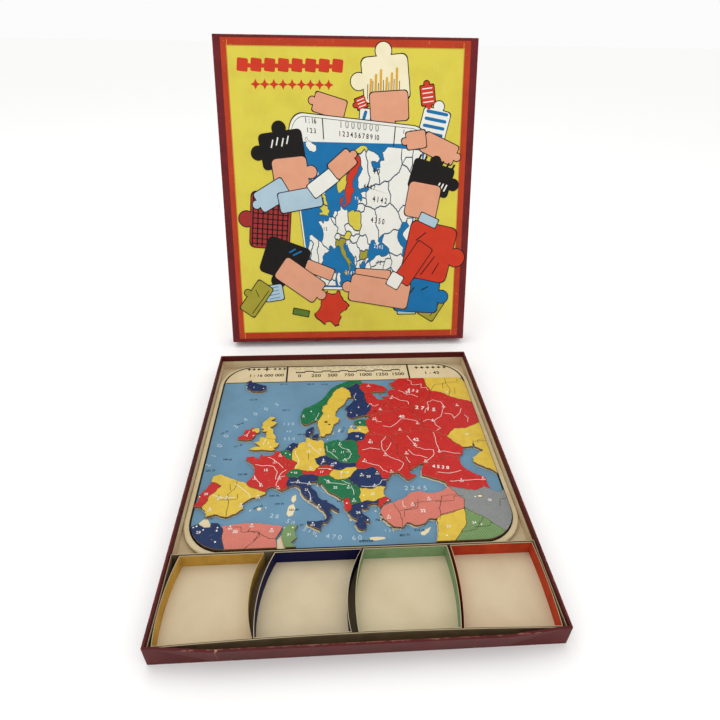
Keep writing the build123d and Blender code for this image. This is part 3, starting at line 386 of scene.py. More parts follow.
# %% Panels, stars and spots
def rounded_panel(bm, place, low, high, radius, lift, steps=10):
    """A rectangle with rounded corners, laid out by a function from millimetres to places."""
    made = bmesh.ops.create_grid(bm, x_segments=1, y_segments=1, size=0.5)["verts"]
    for vert in made:
        vert.co.x = low[0] if vert.co.x < 0 else high[0]
        vert.co.y = low[1] if vert.co.y < 0 else high[1]
    if radius:
        made = bmesh.ops.bevel(bm, geom=made, offset=radius, offset_type="OFFSET", segments=steps, profile=0.5,
                               affect="VERTICES", material=-1)["verts"]
    for vert in made:
        vert.co = place(vert.co.x, vert.co.y, lift)
    return made


def tilted(place, middle, degrees=0.0):
    """The same placing function, moved to a middle and turned about it."""
    cosine, sine = math.cos(math.radians(degrees)), math.sin(math.radians(degrees))
    return lambda x, y, lift: place(middle[0] + x * cosine - y * sine, middle[1] + x * sine + y * cosine, lift)


def star(bm, place, radius, waist, lift, points=4):
    """A pointed star."""
    ring = bmesh.ops.create_circle(bm, cap_ends=True, segments=2 * points, radius=1.0)["verts"]
    for number, vert in enumerate(ring):
        reach = radius if number % 2 == 0 else waist
        vert.co = place(vert.co.x * reach, vert.co.y * reach, lift)


def spot_of_ink(bm, place, radius, lift, sides=28):
    """A round spot."""
    for vert in bmesh.ops.create_circle(bm, cap_ends=True, segments=sides, radius=radius)["verts"]:
        vert.co = place(vert.co.x, vert.co.y, lift)


board_low, board_high = (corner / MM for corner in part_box("map_board"))
print("the map board is", round(board_high.x - board_low.x, 1), "by", round(board_high.y - board_low.y, 1), "mm")

# %% [markdown]
# ## Numbers and inks
#
# There are no words on this model, and plain numbers stand in their places. Each number is made as text,
# thickened a little so that it prints as strongly as type does, and turned into a mesh before it is laid
# down. Ink soaks into paper, so it has the paper's own roughness and its mottling just shows through.

# %% Numbers and inks
def put_number(bm, text, size, place, lift, bold=0.02):
    """A plain number in the built-in typeface, centred on its middle and laid down by a placing function."""
    written = bpy.data.curves.new("number", "FONT")
    written.body = text
    written.size = size
    written.align_x = written.align_y = "CENTER"
    written.offset = bold * size
    holder = into_scene("number", written)
    mesh = bpy.data.meshes.new_from_object(holder.evaluated_get(bpy.context.evaluated_depsgraph_get()))
    bpy.data.objects.remove(holder)
    for vert in mesh.vertices:
        vert.co = place(vert.co.x, vert.co.y, lift)
    bm.from_mesh(mesh)


def ink(name, tone, dark=None, roughness=0.6):
    """Printing ink on paper, with the paper's mottling just showing through; the saw cuts use it for painted shade.
    """
    return plain_paper(name, tone, dark or tone, roughness, patch_mm=18.0, fibre_mm=0.8, strength=0.35)


PIECE_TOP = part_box("poland")[1].z
print("the sawn pieces reach", round(PIECE_TOP / MM, 2), "mm up")

# %% [markdown]
# ## Where the wrap laps over itself
#
# On the front wall the two ends of the wrap lap over each other. The upper end's cut edge shows as a pale
# line down the wall, and its corner at the rim is torn, so that a little bare board shows. The wall has
# been pushed out in its middle, so a small function gives the place of a point on it.

# %% Lap of the wrap
WALL_FOOT_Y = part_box("tray_base_paper")[0].y
WALL_SAG = WALL_FOOT_Y - tray_low.y


def front_wall(x, z, lift):
    """A place on the outside of the tray's front wall, from millimetres across and up."""
    taper = max(0.0, (abs(x) - 116.0) / 44.0)
    lean = max(0.0, z * MM / tray_high.z - taper) * WALL_SAG
    return Vector((x * MM, WALL_FOOT_Y - lean - lift * MM, z * MM))


def on_rim(x, y, lift):
    """A place on top of the front rim, with y measured inwards from its outer edge."""
    return front_wall(x, tray_high.z / MM, -y) + Vector((0, 0, lift * MM))


def strip(bm, place, low, high, steps, bend, lift):
    """A narrow strip in several lengths, each corner pushed a little to one side."""
    for vert in bmesh.ops.create_grid(bm, x_segments=1, y_segments=steps, size=0.5)["verts"]:
        x = low[0] if vert.co.x < 0 else high[0]
        y = low[1] + (high[1] - low[1]) * (vert.co.y + 0.5)
        vert.co = place(x + bend * math.sin(1.7 * y), y, lift)


lap = bmesh.new()
strip(lap, front_wall, (-112.3, 0.6), (-111.7, 22.3), 8, 0.35, 0.05)
thicken(lap, Vector((0, -1, 0)))
torn = bmesh.new()
strip(torn, on_rim, (-112.2, 0.25), (-110.4, 1.7), 4, 0.4, 0.04)
strip(torn, front_wall, (-112.0, 20.6), (-110.8, 22.3), 3, 0.4, 0.07)
thicken(torn, Vector((0, -0.7, 0.7)))
# Both are bare pulp: the paper's cut edge is pinkish and the board's core brown, and neither shines.
cut_edge = plain_paper("cut_wrap_edge", "#8E5A50", "#5E2A26", 0.8, patch_mm=3.0)
bare_core = plain_paper("torn_board_core", "#A08A6E", "#6E5844", 0.9, patch_mm=1.5)
make_piece("lap_edge", lap, cut_edge, "tray")
make_piece("lap_tear", torn, bare_core, "tray")
print("the front rim has been pushed out by", round(WALL_SAG / MM, 1), "mm")

# %% [markdown]
# ## The map board and its printed sheet
#
# The board is pasted with one sheet of cream paper whose edge is left bare all round. A black rule with
# rounded corners frames the print. Across the top is a cream band in three panels, and below it the sea,
# in a soft blue that has darkened unevenly. The rule is one rounded face, inset by the rule's width, with
# its middle taken away. The sea is the same rounded face cut off by a plane under the band.

# %% Board, sheet, sea and rules
# The board's cut edge is fibrous and the sheet on it smoother and yellowed. Printing ink lies flat on
# paper and is nearly matt, so a colour and a soft mottling are all that shows of it.
board_edge = plain_paper("cream_board_edge", "#D9C9A2", "#A88F66", 0.8, patch_mm=9.0)
sheet_paper = plain_paper("cream_map_paper", "#DCCBA4", "#C2A97E", 0.7, patch_mm=25.0, strength=0.4)
sea_ink = plain_paper("sea_blue_ink", "#6990A9", "#58798F", 0.55, patch_mm=40.0, fibre_mm=0.9, strength=0.55)
black_ink = ink("black_ink", "#1B1917", "#2B2724")
white_ink = ink("white_ink", "#EDEBE2", "#D8D4C6")
cream_ink = ink("bare_paper_land", "#E2D3AC", "#CDBB8F")
wear("map_board", board_edge)
wear("map_print", sheet_paper)

RULE_INSET, RULE_WIDTH, TOP_RULE_INSET = 5.2, 2.1, 2.6
BAND_DEPTH = 38.4
RULE_LOW = (board_low.x + RULE_INSET, board_low.y + RULE_INSET)
RULE_HIGH = (board_high.x - RULE_INSET, board_high.y - TOP_RULE_INSET)
RULE_RADIUS = 38.5
BAND_Y = board_high.y - BAND_DEPTH

sea = bmesh.new()
rounded_panel(sea, flat, RULE_LOW, RULE_HIGH, RULE_RADIUS, INK)
bmesh.ops.bisect_plane(sea, geom=sea.verts[:] + sea.edges[:] + sea.faces[:], plane_co=flat(0, BAND_Y),
                       plane_no=(0, 1, 0), clear_outer=True)
print_on_map("printed_sea", sea, sea_ink)

rule = bmesh.new()
rounded_panel(rule, flat, RULE_LOW, RULE_HIGH, RULE_RADIUS, 2 * INK)
bmesh.ops.inset_region(rule, faces=rule.faces[:], thickness=RULE_WIDTH * MM, use_boundary=True)
middle = max(rule.faces, key=lambda face: face.calc_area())
bmesh.ops.delete(rule, geom=[middle], context="FACES")
rounded_panel(rule, flat, (RULE_LOW[0] + 3, BAND_Y - 0.7), (RULE_HIGH[0] - 1.5, BAND_Y + 0.7), 0, 2 * INK)
for divider_x in (-78.0, 87.0):  # the heading has three panels
    rounded_panel(rule, flat, (divider_x - 1.1, BAND_Y), (divider_x + 1.1, RULE_HIGH[1] - 1), 0, 3 * INK)
print_on_map("printed_rules", rule, black_ink)
print("the heading band is", round(RULE_HIGH[1] - BAND_Y, 1), "mm deep")

# %% [markdown]
# ## From longitude and latitude to the board
#
# The map is drawn on a cone. A parallel is an arc about a point far above the board and a meridian a
# straight line to that point, so a place needs only its distance from the point and its turn about it.
# With this one function the rivers, towns and islands can be written down as they stand in an atlas.

# %% Places on the map
FIELD_TOP = board_high.y - 39.6
APEX = FIELD_TOP + 198.6


def spot(longitude, latitude):
    """A place on the board, in millimetres."""
    radius = 6.931 * (100.0 - latitude)
    around = math.radians(0.769 * (longitude - 20.1))
    return -5.2 + 0.927 * radius * math.sin(around), APEX - radius * math.cos(around)


def places(text):
    """Several places from 'longitude latitude, longitude latitude, ...'."""
    return [spot(*map(float, pair.split())) for pair in text.split(",")]


print("20 east, 50 north is at", [round(part, 1) for part in spot(20, 50)], "mm")

# %% [markdown]
# Land that has no sawn piece is left as bare paper on the sheet: the islands of the inner seas, the strip
# across the straits, and slivers where a piece was sawn a little inside its printed coast.

# %% Land left on the sheet
BARE_LAND = (
    "9.4 43, 9.6 42, 9.2 41.4, 8.6 41.9, 8.7 42.6",
    "9.3 41.2, 9.8 40.5, 9.6 39.2, 8.9 38.9, 8.4 39.3, 8.4 40.6, 8.6 40.9",
    "2.4 39.6, 3.1 39.9, 3.4 39.5, 2.9 39.2", "1.2 39.1, 1.6 39.1, 1.4 38.8", "3.9 40.1, 4.3 40, 4.1 39.8",
    "23.6 35.5, 24.8 35.5, 26.2 35.3, 26.2 35, 24.6 34.9, 23.6 35.1",
    "32.4 35.1, 33.2 35.4, 34.6 35.7, 33.9 35, 33 34.6, 32.5 34.7",
    "-6.3 35, -5.9 35.9, -5.3 36, -4.4 35.3, -3.6 35.2, -3.9 34.4, -4.9 34.1, -6.1 34.4",
    "12 56.3, 12.7 56.1, 12.6 55.7", "14.9 55.4, 15.3 55.2, 15 55", "16.4 56.4, 17.1 57.3, 16.7 56.3",
    "18.2 57.3, 19 57.9, 18.8 57.2, 18.3 56.9", "22.1 58.3, 22.9 58.6, 23.2 58.4, 22.3 58",
    "20.3 39.2, 20.9 38.6, 20.4 38.4", "25.2 40, 25.7 39.9, 25.4 39.7", "27.7 36.5, 28.3 36.3, 27.9 35.9",
    "26 39.3, 26.6 39.1, 26.2 38.9", "25.9 38.5, 26.2 38.3, 26 38.1", "14.3 36.1, 14.6 35.9, 14.3 35.8",
    "8.5 37.1, 8.6 36, 7.9 34.8, 8.3 33.3, 9.6 33.3, 8.6 35, 8.9 37.1",
)
land = bmesh.new()
for outline in BARE_LAND:
    outline_face(land, [flat(x, y, 2 * INK) for x, y in places(outline)])
print_on_map("printed_islands", land, cream_ink)
print("islands and coasts left on the sheet:", len(BARE_LAND))

# %% [markdown]
# ## Thin lines, and the tops of the pieces
#
# A river or a drawn line is a curve with a round section, made a mesh and then pressed nearly flat. The
# land under a sawn piece has the piece's own outline, so the faces on its top are copied. Those are loose
# triangles, which are merged and joined into one face first.

# %% Cords and copied tops
def ribbons(name, lines, width, height, squeeze=0.15, straight=False):
    """A mesh of flattened cords along lines given in millimetres."""
    drawn = bpy.data.curves.new(name, "CURVE")
    drawn.dimensions = "3D"
    drawn.bevel_depth = width / 2 * MM
    drawn.bevel_resolution = 1
    drawn.use_fill_caps = True
    for line in lines:
        spline = drawn.splines.new("NURBS")
        spline.points.add(len(line) - 1)
        for point, (x, y) in zip(spline.points, line):
            point.co = (x * MM, y * MM, 0, 1)
        spline.order_u = 2 if straight else 3
        spline.use_endpoint_u = True
    drawn.resolution_u = 4
    holder = bpy.data.objects.new(name, drawn)
    mesh = bpy.data.meshes.new_from_object(holder)
    mesh.transform(Matrix.Translation((0, 0, height)) @ Matrix.Scale(squeeze, 4, (0, 0, 1)))
    bpy.data.objects.remove(holder)
    return mesh


def top_of(node_name):
    """The upper faces of a sawn piece, as a bmesh of their own."""
    copy = bmesh.new()
    copy.from_mesh(frame["nodes"][node_name].data)
    bmesh.ops.remove_doubles(copy, verts=copy.verts, dist=0.001 * MM)
    copy.normal_update()
    under = [face for face in copy.faces if face.normal.z < 0.9 or face.calc_center_median().z < PIECE_TOP - 0.2 * MM]
    bmesh.ops.delete(copy, geom=under, context="FACES")
    bmesh.ops.dissolve_limit(copy, angle_limit=math.radians(1), verts=copy.verts, edges=copy.edges)
    return copy


def lay_shape(bm, shape, place):
    """Adds a flat shape to a bmesh, each of its corners moved by a placing function."""
    for vert in shape.verts:
        vert.co = place(vert.co.x / MM, vert.co.y / MM)
    mesh = bpy.data.meshes.new("shape")
    shape.to_mesh(mesh)
    shape.free()
    bm.from_mesh(mesh)


copied = top_of("iceland")
print("the copied top of one island is", len(copied.faces), "face with", len(copied.verts), "corners")
copied.free()

# %% [markdown]
# The land under each piece is printed a little to the front and left of it, so that a thin pale line of
# bare paper shows there. It is wider where the piece was sawn well inside its printed coast.

# %% Land under the pieces
PIECE_NAMES = [row["node"] for row in frame["record"]["subparts"] if row["material_slot"].endswith("_piece")]
WIDE_SLIVERS = {"italy": (-1.0, -1.0), "yugoslavia": (-1.0, -0.9), "greece": (-0.9, -0.9), "asia_minor": (-1.1, -0.9),
                "russia_south": (-1.0, -1.1), "syria": (-0.9, -0.5)}
printed_land = bmesh.new()
for piece_name in PIECE_NAMES:
    side, down = WIDE_SLIVERS.get(piece_name, (-0.25, -0.55))
    lay_shape(printed_land, top_of(piece_name), lambda x, y: flat(x + side, y + down, 2 * INK))
print_on_map("printed_land", printed_land, cream_ink)
print("land is printed under", len(PIECE_NAMES), "pieces")

# %% [markdown]
# ## The sawn pieces
#
# Each country is a piece of thin board, pasted with printed and varnished paper and then sawn out by
# hand. So its top is a bright ink, a little glossy, and its sides show brown board with a pale line of
# paper at the top. One finish does both: it looks at whether the surface faces up. Pink, green and grey
# lands are printed as fine slanting lines on paper; real ones are about 0.5 mm apart, and are drawn at
# about 1.3 mm here so that they show.

# %% Finishes of the pieces
HATCH_MM = 1.3


def facing_up(tree):
    """1 where the surface faces up, 0 on sides and undersides."""
    normal = add(tree, "NewGeometry").outputs["Normal"]
    rise = add(tree, "SeparateXYZ", {"Vector": normal}).outputs["Z"]
    return add(tree, "Math", {0: rise, 1: 0.6}, operation="GREATER_THAN").outputs[0]


def above(tree, place, level):
    """1 above a height in metres, 0 below it."""
    height = add(tree, "SeparateXYZ", {"Vector": place}).outputs["Z"]
    return add(tree, "Math", {0: height, 1: level}, operation="GREATER_THAN").outputs[0]


def piece_finish(name, tone, dark, hatch=None):
    """Varnished print on top, which has a soft sheen, and dull sawn board at the sides."""
    material, tree, shader, place = finish_start(name, 0.42, 0.22)
    top = paper_colour(tree, place, tone, dark, patch_mm=9.0, fibre_mm=0.8, strength=0.5)
    if hatch:
        slanted = add(tree, "Mapping", {"Vector": place, "Rotation": (0, 0, math.radians(38))})
        bands = add(tree, "TexWave", {"Vector": slanted.outputs["Vector"],
                                                "Scale": math.tau / 20 / (HATCH_MM * MM)})
        lines = add(tree, "MapRange", {"Value": bands.outputs["Fac"], "From Min": 0.5, "From Max": 0.65,
                                                 "To Max": 0.7}).outputs["Result"]
        top = add(tree, "Mix", {0: lines, 6: top, 7: hatch}, data_type="RGBA").outputs[2]
    rubs = noise_mask(tree, place, 2.2, 0.68, 0.76, 0.45)
    top = add(tree, "Mix", {0: rubs, 6: top, 7: "#D9CDB4"}, data_type="RGBA").outputs[2]
    side = paper_colour(tree, place, "#8B6B48", "#5A4029", patch_mm=3.0, fibre_mm=0.4, strength=0.8)
    line = above(tree, place, PIECE_TOP - 0.5 * MM)
    side = add(tree, "Mix", {0: line, 6: side, 7: "#B39E78"}, data_type="RGBA").outputs[2]
    both = add(tree, "Mix", {0: facing_up(tree), 6: side, 7: top}, data_type="RGBA").outputs[2]
    tree.links.new(both, shader.inputs["Base Color"])
    paper_bump(tree, shader, place, 0.8, 0.03, 0.4)
    return material


PIECE_FINISHES = {
    "red_piece": piece_finish("varnished_red_print", "#BE211D", "#A01613"),
    "yellow_piece": piece_finish("varnished_yellow_print", "#D6B741", "#BF9A30"),
    "green_piece": piece_finish("varnished_green_print", "#096C41", "#075031"),
    "navy_piece": piece_finish("varnished_navy_print", "#112A58", "#0B1C3E"),
    "pink_piece": piece_finish("pink_line_print", "#C65549", "#AE433B", "#D9A08C"),
    "grey_blue_piece": piece_finish("grey_blue_line_print", "#6D757C", "#565F68", "#A9A496"),
}
light_green = piece_finish("green_line_print", "#3E7A44", "#2E6636", "#A7AE76")
for row in frame["record"]["subparts"]:
    if row["material_slot"] in PIECE_FINISHES:
        wear(row["node"], PIECE_FINISHES[row["material_slot"]])
for node_name in ("tunisia", "iraq"):
    wear(node_name, light_green)
print("the pieces have", len(PIECE_FINISHES) + 1, "finishes")

# %% [markdown]
# ## Rivers, towns and numbers
#
# The print carries thin white rivers, white dots for towns and white labels. A plain number stands for
# each label. Everything on one piece is joined into one object, which rides on that piece. Rivers are
# slightly raised cords of ink, towns are small discs, and numbers come from the
# built-in typeface as meshes.

# %% What is printed on each piece
PRINTED = {
    "iceland": ("-19 64.7", "-21.8 64.1, -15 65.3", ()),
    "ireland": ("-8.2 52.9", "-6.5 53.3", ("-8.3 54, -8.4 53.2, -8.9 52.7",)),
    "great_britain": ("-1.3 52.3", "-0.2 51.6, -3.3 55.9", ("-2.6 53.2, -2.4 52.2, -2.5 51.8",)),
    "norway": ("8.2 61.6", "10.6 59.9, 5.9 60.4", ("11.2 61.4, 10.9 60.3",)),
    "sweden": ("14.8 60.6", "", ()),
    "finland": ("26.2 62.8", "25 60.7, 23 61.5, 25.6 65", ("26.4 66.9, 25.4 66.2, 25.4 65.4",)),
    "denmark": (None, "9.4 56.2", ()),
    "estonia": ("25.6 58.7", "", ()), "latvia": ("25.1 56.9", "", ()), "lithuania": ("23.9 55.3", "25.1 54.8", ()),
    "poland": ("19.4 51.7", "21 52.2, 17 52.3, 20 50.2, 18.7 53.9",
               ("18.2 50.3, 16.9 51.2, 15.4 52, 14.9 53.2",
                "19.3 49.9, 20.9 50.3, 21.8 51.3, 21 52.4, 19.3 52.7, 18.7 53.4, 18.9 54")),
    "germany": ("10.2 51.7", "13.3 52.4, 10 53.4, 11.5 48.3",
                ("7.9 48, 8.4 49.2, 8 50, 7.1 50.8, 6.8 51.6", "13.6 51.2, 12 52, 10.6 53")),
    "netherlands": (None, "4.9 52.3", ()), "belgium": (None, "4.4 50.8, 5.6 50.6", ()),
    "france": ("1.2 46.6", "2.4 48.8, 4.8 45.7, 5.3 43.8, -0.5 44.8, 1.5 43.8, 3.1 50.4",
               ("5 47.6, 3.6 48.4, 2.4 48.9, 1.2 49.3, 0.4 49.3",
                "4.2 45.1, 4 46.6, 2.7 47.7, 1.2 47.6, -0.6 47.3, -1.7 47.3",
                "1.6 43.3, 1 44, -0.3 44.6, -0.9 45.2", "6 46, 4.9 45.6, 4.7 44.6, 4.8 43.7",
                "5.9 47.3, 5.1 46.7, 4.9 45.9")),
    "switzerland": ("8.2 46.9", "7.3 46.9", ()),
    "austria": ("14.3 47.4", "16.2 48.1", ("13.4 48.1, 15.2 48.2, 16.8 47.9",)),
    "czechoslovakia": ("17.4 49.3", "14.5 50, 16.7 49.2", ("14 49, 14.4 49.8, 14.4 50.3",)),
    "hungary": ("20.3 47.3", "19.1 47.4", ("19 47.6, 18.9 46.7, 18.9 46.2",)),
    "romania": ("25.2 46.2", "26.2 44.5, 27.4 47, 23.7 46.9",
                ("23.2 44.4, 25.5 44.1, 27.4 44.5, 28 45.2, 29.2 45.2",)),
    "italy": ("11.5 43.7", "12.6 42, 9.2 45.4, 14.4 41, 11.8 45.2, 13.6 37.8",
              ("7.6 44.9, 9.2 45.1, 11 45, 12.1 45", "11.9 43.5, 12.4 42.7, 12.5 42.2")),
    "yugoslavia": ("17.6 44.3", "20.5 44.6, 16 45.7, 21.4 42",
                   ("15 46, 16.6 45.3, 18.6 45, 20.2 44.9", "19 45.7, 19.9 45.3, 20.8 44.9",
                    "21.5 42.8, 21.4 43.8, 21 44.5")),
    "albania": (None, "19.9 41.3", ()), "greece": ("22 39.5", "23.6 38.1, 22.9 40.6", ()),
    "bulgaria": ("25.4 42.7", "23.5 42.6", ()), "turkey_in_europe": (None, "28.2 41.2", ()),
    "spain": ("-5.2 39.5", "-4 40.2, 1.9 41.5, -5.8 37.5, -0.6 39.5",
              ("-3.9 42.8, -1.8 42.2, 0 41.5, 0.6 40.9", "-2.4 40.4, -4.2 39.9, -6.8 39.7")),
    "portugal": ("-8.2 39.6", "-9 38.8", ()), "morocco": ("-5.2 33.3", "-6.5 33.8, -4.7 33.9, -2.6 34.8", ()),
    "algeria": ("0.6 34.8", "2.9 36.5, -0.6 35.5, 6.6 36.2", ()), "tunisia": ("9.8 35.6", "10.2 36.8", ()),
    "asia_minor": ("34.2 38.3", "32.8 40, 27.6 38.5, 36.4 40.4", ("31 40.7, 30.8 39.6, 31.4 39.6",)),
    "syria": ("37.4 34.8", "36.4 33.5", ()), "iraq": ("42 34.2", "43 33.6", ()),
    "iran": ("47.3 36.8", "45.2 38.2", ()),
    "siberia": ("62.3 60.6", "", ()), "kazakhstan": ("54.6 49.8", "", ()), "transcaspia": ("57.2 44", "", ()),
    "russia_north": ("48.4 64.4", "40.6 64.3, 33.2 68.9, 34.2 61.8",
                     ("45.2 61.2, 45.9 62, 43.2 62.9, 41.6 64, 41.2 64.7",
                      "56.6 63, 57.2 64, 55 64.4, 56.9 65.3, 54.2 65.6, 52.4 66.2, 53.6 67, 52.6 67.8",
                      "50.6 62.4, 49.2 63.6, 47.2 64, 46.4 65, 45.2 65.6",
                      "29.6 62.6, 31.2 63.6, 32.2 62.6, 34.2 62.9")),
    "russia_centre": ("40.2 58.6", "37.6 55.8, 30.6 59.5, 44 56.3, 49.2 55.8, 56.2 58, 60.6 56.9",
                      ("32.8 57.2, 35.2 56.6, 37.2 57.2, 39.6 58.1, 42 57.5, 44.2 56.5",
                       "45.8 56.1, 47.8 56.2, 49.2 55.4, 48.6 54.2, 49.4 53.4, 47.9 53.1",
                       "49.6 55.5, 52 55.8, 53.8 56.6, 56 57.6, 56.8 59, 54.8 60.3, 52.2 60.2, 51 58.9, "
                       "49.6 58.8, 48.6 58",
                       "54.2 56.2, 56 55.4, 55.4 54.2, 58.6 54.8, 60.6 55.6",
                       "31.4 59.7, 31.2 58.6, 32.8 58.2", "58 52.2, 59.4 53, 59.2 54")),
    "russia_west": ("27.6 53.6", "30.6 50.6, 27.6 54.2, 30.8 46.9, 25 49.9",
                    ("32.4 54.5, 30.6 53.4, 30.3 51.6, 31.4 49.9, 33 49, 34.4 48, 33.4 47, 32.4 46.6",
                     "24.2 49.5, 26.4 48.8, 28.2 48.2, 29 47.2, 30 46.6", "24.8 52, 27.2 52.3, 29.6 51.7",
                     "33.2 52.9, 32 51.8, 31 51.2")),
    "russia_south": ("40.4 52.4", "44.6 48.8, 39.6 51.6, 44.9 42, 49.4 40.9, 39.8 47.6, 36.2 50.2",
                     ("46.4 53, 46 51.8, 45.2 50.4, 44.8 49.2, 44.6 48.6, 46 48.2, 47.6 47.2, 48.8 46.8",
                      "38.6 53.7, 39.2 52.2, 39.4 50.8, 41.4 49.8, 43.4 49.2, 42.6 48.2, 40.8 47.6, 39.6 47.4",
                      "37 50.6, 37.6 49.4, 39.6 48.6, 40.6 47.9", "35.6 49.2, 35.9 47.8",
                      "41 44.6, 43.6 43.7, 46.2 43.6", "42.4 42.3, 44.6 41.8, 46.8 41.3, 48.8 40.6")),
}
TOWN_MM, RIVER_MM = 1.6, 0.55
NUMBER_MM = {"germany": 5.0, "france": 5.0, "spain": 5.0, "poland": 4.6, "russia_north": 6.5, "russia_centre": 7.0,
             "russia_west": 6.0, "russia_south": 7.0, "asia_minor": 5.5, "yugoslavia": 4.4, "algeria": 5.0,
             "norway": 4.2, "italy": 4.0, "romania": 4.4, "czechoslovakia": 4.0}

WIDE_LABELS = {"russia_centre": ("2 7 1 5", 9.0, 97, 91, -14), "russia_south": ("4 5 3 8", 6.5, 98, -8, -10),
               "russia_north": ("6 3 2", 7.0, 87, 128, -20)}
print("rivers:", sum(len(rivers) for label, towns, rivers in PRINTED.values()))

# %% [markdown]
# A river never runs straight, so each one is broken into short runs that stray a little to either side,
# by chance but the same every time. Towns get numbers only on the pieces that are large enough for them.

# %% Printing the pieces
def on_piece(x, y, lift=0.0):
    """Millimetres on the map, to a place on top of the sawn pieces."""
    return Vector((x * MM, y * MM, PIECE_TOP + lift * MM))


chance = random.Random(11)


def wandering(line, run=2.6, stray=0.55):
    """The same line, broken into short runs that stray to either side as a river does."""
    path = [line[0]]
    for (x0, y0), (x1, y1) in zip(line, line[1:]):
        runs = max(1, round(math.hypot(x1 - x0, y1 - y0) / run))
        for step in range(1, runs + 1):
            share = step / runs
            path.append((x0 + (x1 - x0) * share + chance.uniform(-stray, stray),
                         y0 + (y1 - y0) * share + chance.uniform(-stray, stray)))
    return path


for count, (piece_name, (label, towns, rivers)) in enumerate(PRINTED.items(), start=1):
    marks = bmesh.new()
    for number, (x, y) in enumerate(places(towns) if towns else (), start=1):
        spot_of_ink(marks, tilted(on_piece, (x, y)), TOWN_MM / 2, 2 * INK, sides=12)
        if piece_name in NUMBER_MM:
            put_number(marks, f"{10 * count + number}", 3.0, tilted(on_piece, (x, y - 2.8)), 2 * INK)
    if label:
        put_number(marks, str(count), NUMBER_MM.get(piece_name, 4.2), tilted(on_piece, places(label)[0]), 2 * INK)
    if piece_name in WIDE_LABELS:
        text, size, x, y, turn = WIDE_LABELS[piece_name]
        put_number(marks, text, size, tilted(on_piece, (x, y), turn), 2 * INK)
    thicken(marks)
    if rivers:
        marks.from_mesh(ribbons("river", [wandering(places(river)) for river in rivers], RIVER_MM, PIECE_TOP))
    make_piece("print_on_" + piece_name, marks, white_ink, piece_name)
print("printed marks ride on", len(PRINTED), "pieces")

# %% [markdown]
# ## Cuts inside the pieces
#
# Some large countries were sawn again, in square steps, into blocks that interlock. Where the model
# keeps two such blocks as one piece, the narrow cut is not modelled, and its shade is painted as a dark
# line on the print: a thin dark cord pressed nearly flat, with straight runs between its corners.

# %% Saw cuts
SAW_CUTS = {
    "siberia": (((126.8, 130.3), (128.4, 143.3), (147.7, 144.3), (149.8, 151.4)), ((142.0, 131.1), (140.5, 119.0))),
    "kazakhstan": (((147.7, 28.4), (149.0, 33.4), (156.0, 34.0)),),
    "asia_minor": (((49.8, -73.1), (50.9, -64.5), (64.8, -63.1), (66.6, -51.2)),
                   ((84.0, -55.1), (103.0, -54.9), (104.2, -48.9), (114.0, -49.1)),
                   ((84.3, -77.8), (85.9, -71.5), (113.3, -64.4))),
    "iraq": (((115.7, -88.0), (132.1, -87.1), (134.1, -82.7)),),
    "iran": (((148.1, -63.8), (150.6, -54.9), (157.4, -54.2)),),
    "algeria": (((-108.5, -77.7), (-107.8, -83.9), (-90.9, -83.1), (-89.7, -90.0), (-95.5, -93.0)),
                ((-122.8, -77.1), (-108.5, -77.7))),
    "spain": (((-126.6, -22.6), (-125.0, -31.4)),
              ((-135.9, -35.7), (-135.7, -43.5), (-116.3, -43.8), (-117.2, -36.5))),
    "germany": (((-46.1, 18.4), (-45.9, 8.6)),),
}
# the cut's dark colour is painted shade: brown board deep in a narrow gap that is not modelled
cut_shadow = ink("saw_cut_painted_shade", "#3A2A1C", "#241A12", roughness=0.9)
for piece_name, cuts in SAW_CUTS.items():
    marks = bmesh.new()
    marks.from_mesh(ribbons("cut", cuts, 0.5, PIECE_TOP, straight=True))
    make_piece("cuts_in_" + piece_name, marks, cut_shadow, piece_name)
print("saw cuts show on", len(SAW_CUTS), "pieces")

# %% [markdown]
# ## The card insert and its four sorting boxes
#
# The insert is a folded tray of bare grey-brown card that holds four small boxes. Each box is folded
# from thin card, coloured on its walls and pale on its floor, where loose pieces have rubbed it. Card
# shows its pale pulp where it was cut, so the upper edges of all of them are lighter than their sides.

# %% Insert and boxes
def box_finish(node_name, name, wall, wall_dark, floor_tone, floor_dark, cut):
    """Dyed card, dull and even: coloured walls, a paler floor, and a light line where it was cut."""
    low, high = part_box(node_name)
    material, tree, shader, place = finish_start(name, 0.75)
    sides = paper_colour(tree, place, wall, wall_dark, patch_mm=12.0, fibre_mm=0.6, strength=0.6)
    bottom = paper_colour(tree, place, floor_tone, floor_dark, patch_mm=34.0, fibre_mm=0.9, strength=0.35)
    stains = noise_mask(tree, place, 1.7, 0.72, 0.76, 0.5)
    bottom = add(tree, "Mix", {0: stains, 6: bottom, 7: "#A98F66"}, data_type="RGBA").outputs[2]
    up_here = facing_up(tree)
    lined = add(tree, "Mix", {0: up_here, 6: sides, 7: bottom}, data_type="RGBA").outputs[2]
    rim = above(tree, place, high.z - 0.35 * MM)
    edged = add(tree, "Mix", {0: rim, 6: lined, 7: cut}, data_type="RGBA").outputs[2]
    tree.links.new(edged, shader.inputs["Base Color"])
    paper_bump(tree, shader, place, 0.6, 0.05, 0.4)
    wear(node_name, material)
    return high.z


for node_name, name, wall, wall_dark in (
        ("box_ochre", "ochre_box_card", "#BE9540", "#9A742B"), ("box_navy", "navy_box_card", "#0C0E3E", "#08092A"),
        ("box_green", "green_box_card", "#7C986C", "#607D52"), ("box_red", "red_box_card", "#B8401F", "#8F2A13")):
    top = box_finish(node_name, name, wall, wall_dark, "#D0C0A0", "#B7A27C", "#B5A686")
box_finish("insert_tray", "bare_insert_card", "#75664F", "#57493A", "#6A5A45", "#4C4032", "#A89878")
print("the boxes' rims are", round(top / MM, 1), "mm up")

# %% [markdown]
# ## Ornaments of the map sheet
#
# The heading band is printed with plain ornaments: a four-pointed compass star in the left panel, a
# scale bar with its numbers in the middle one and a row of stars in the right one. The scale bar is a
# row of small panels, every second one above the middle line.

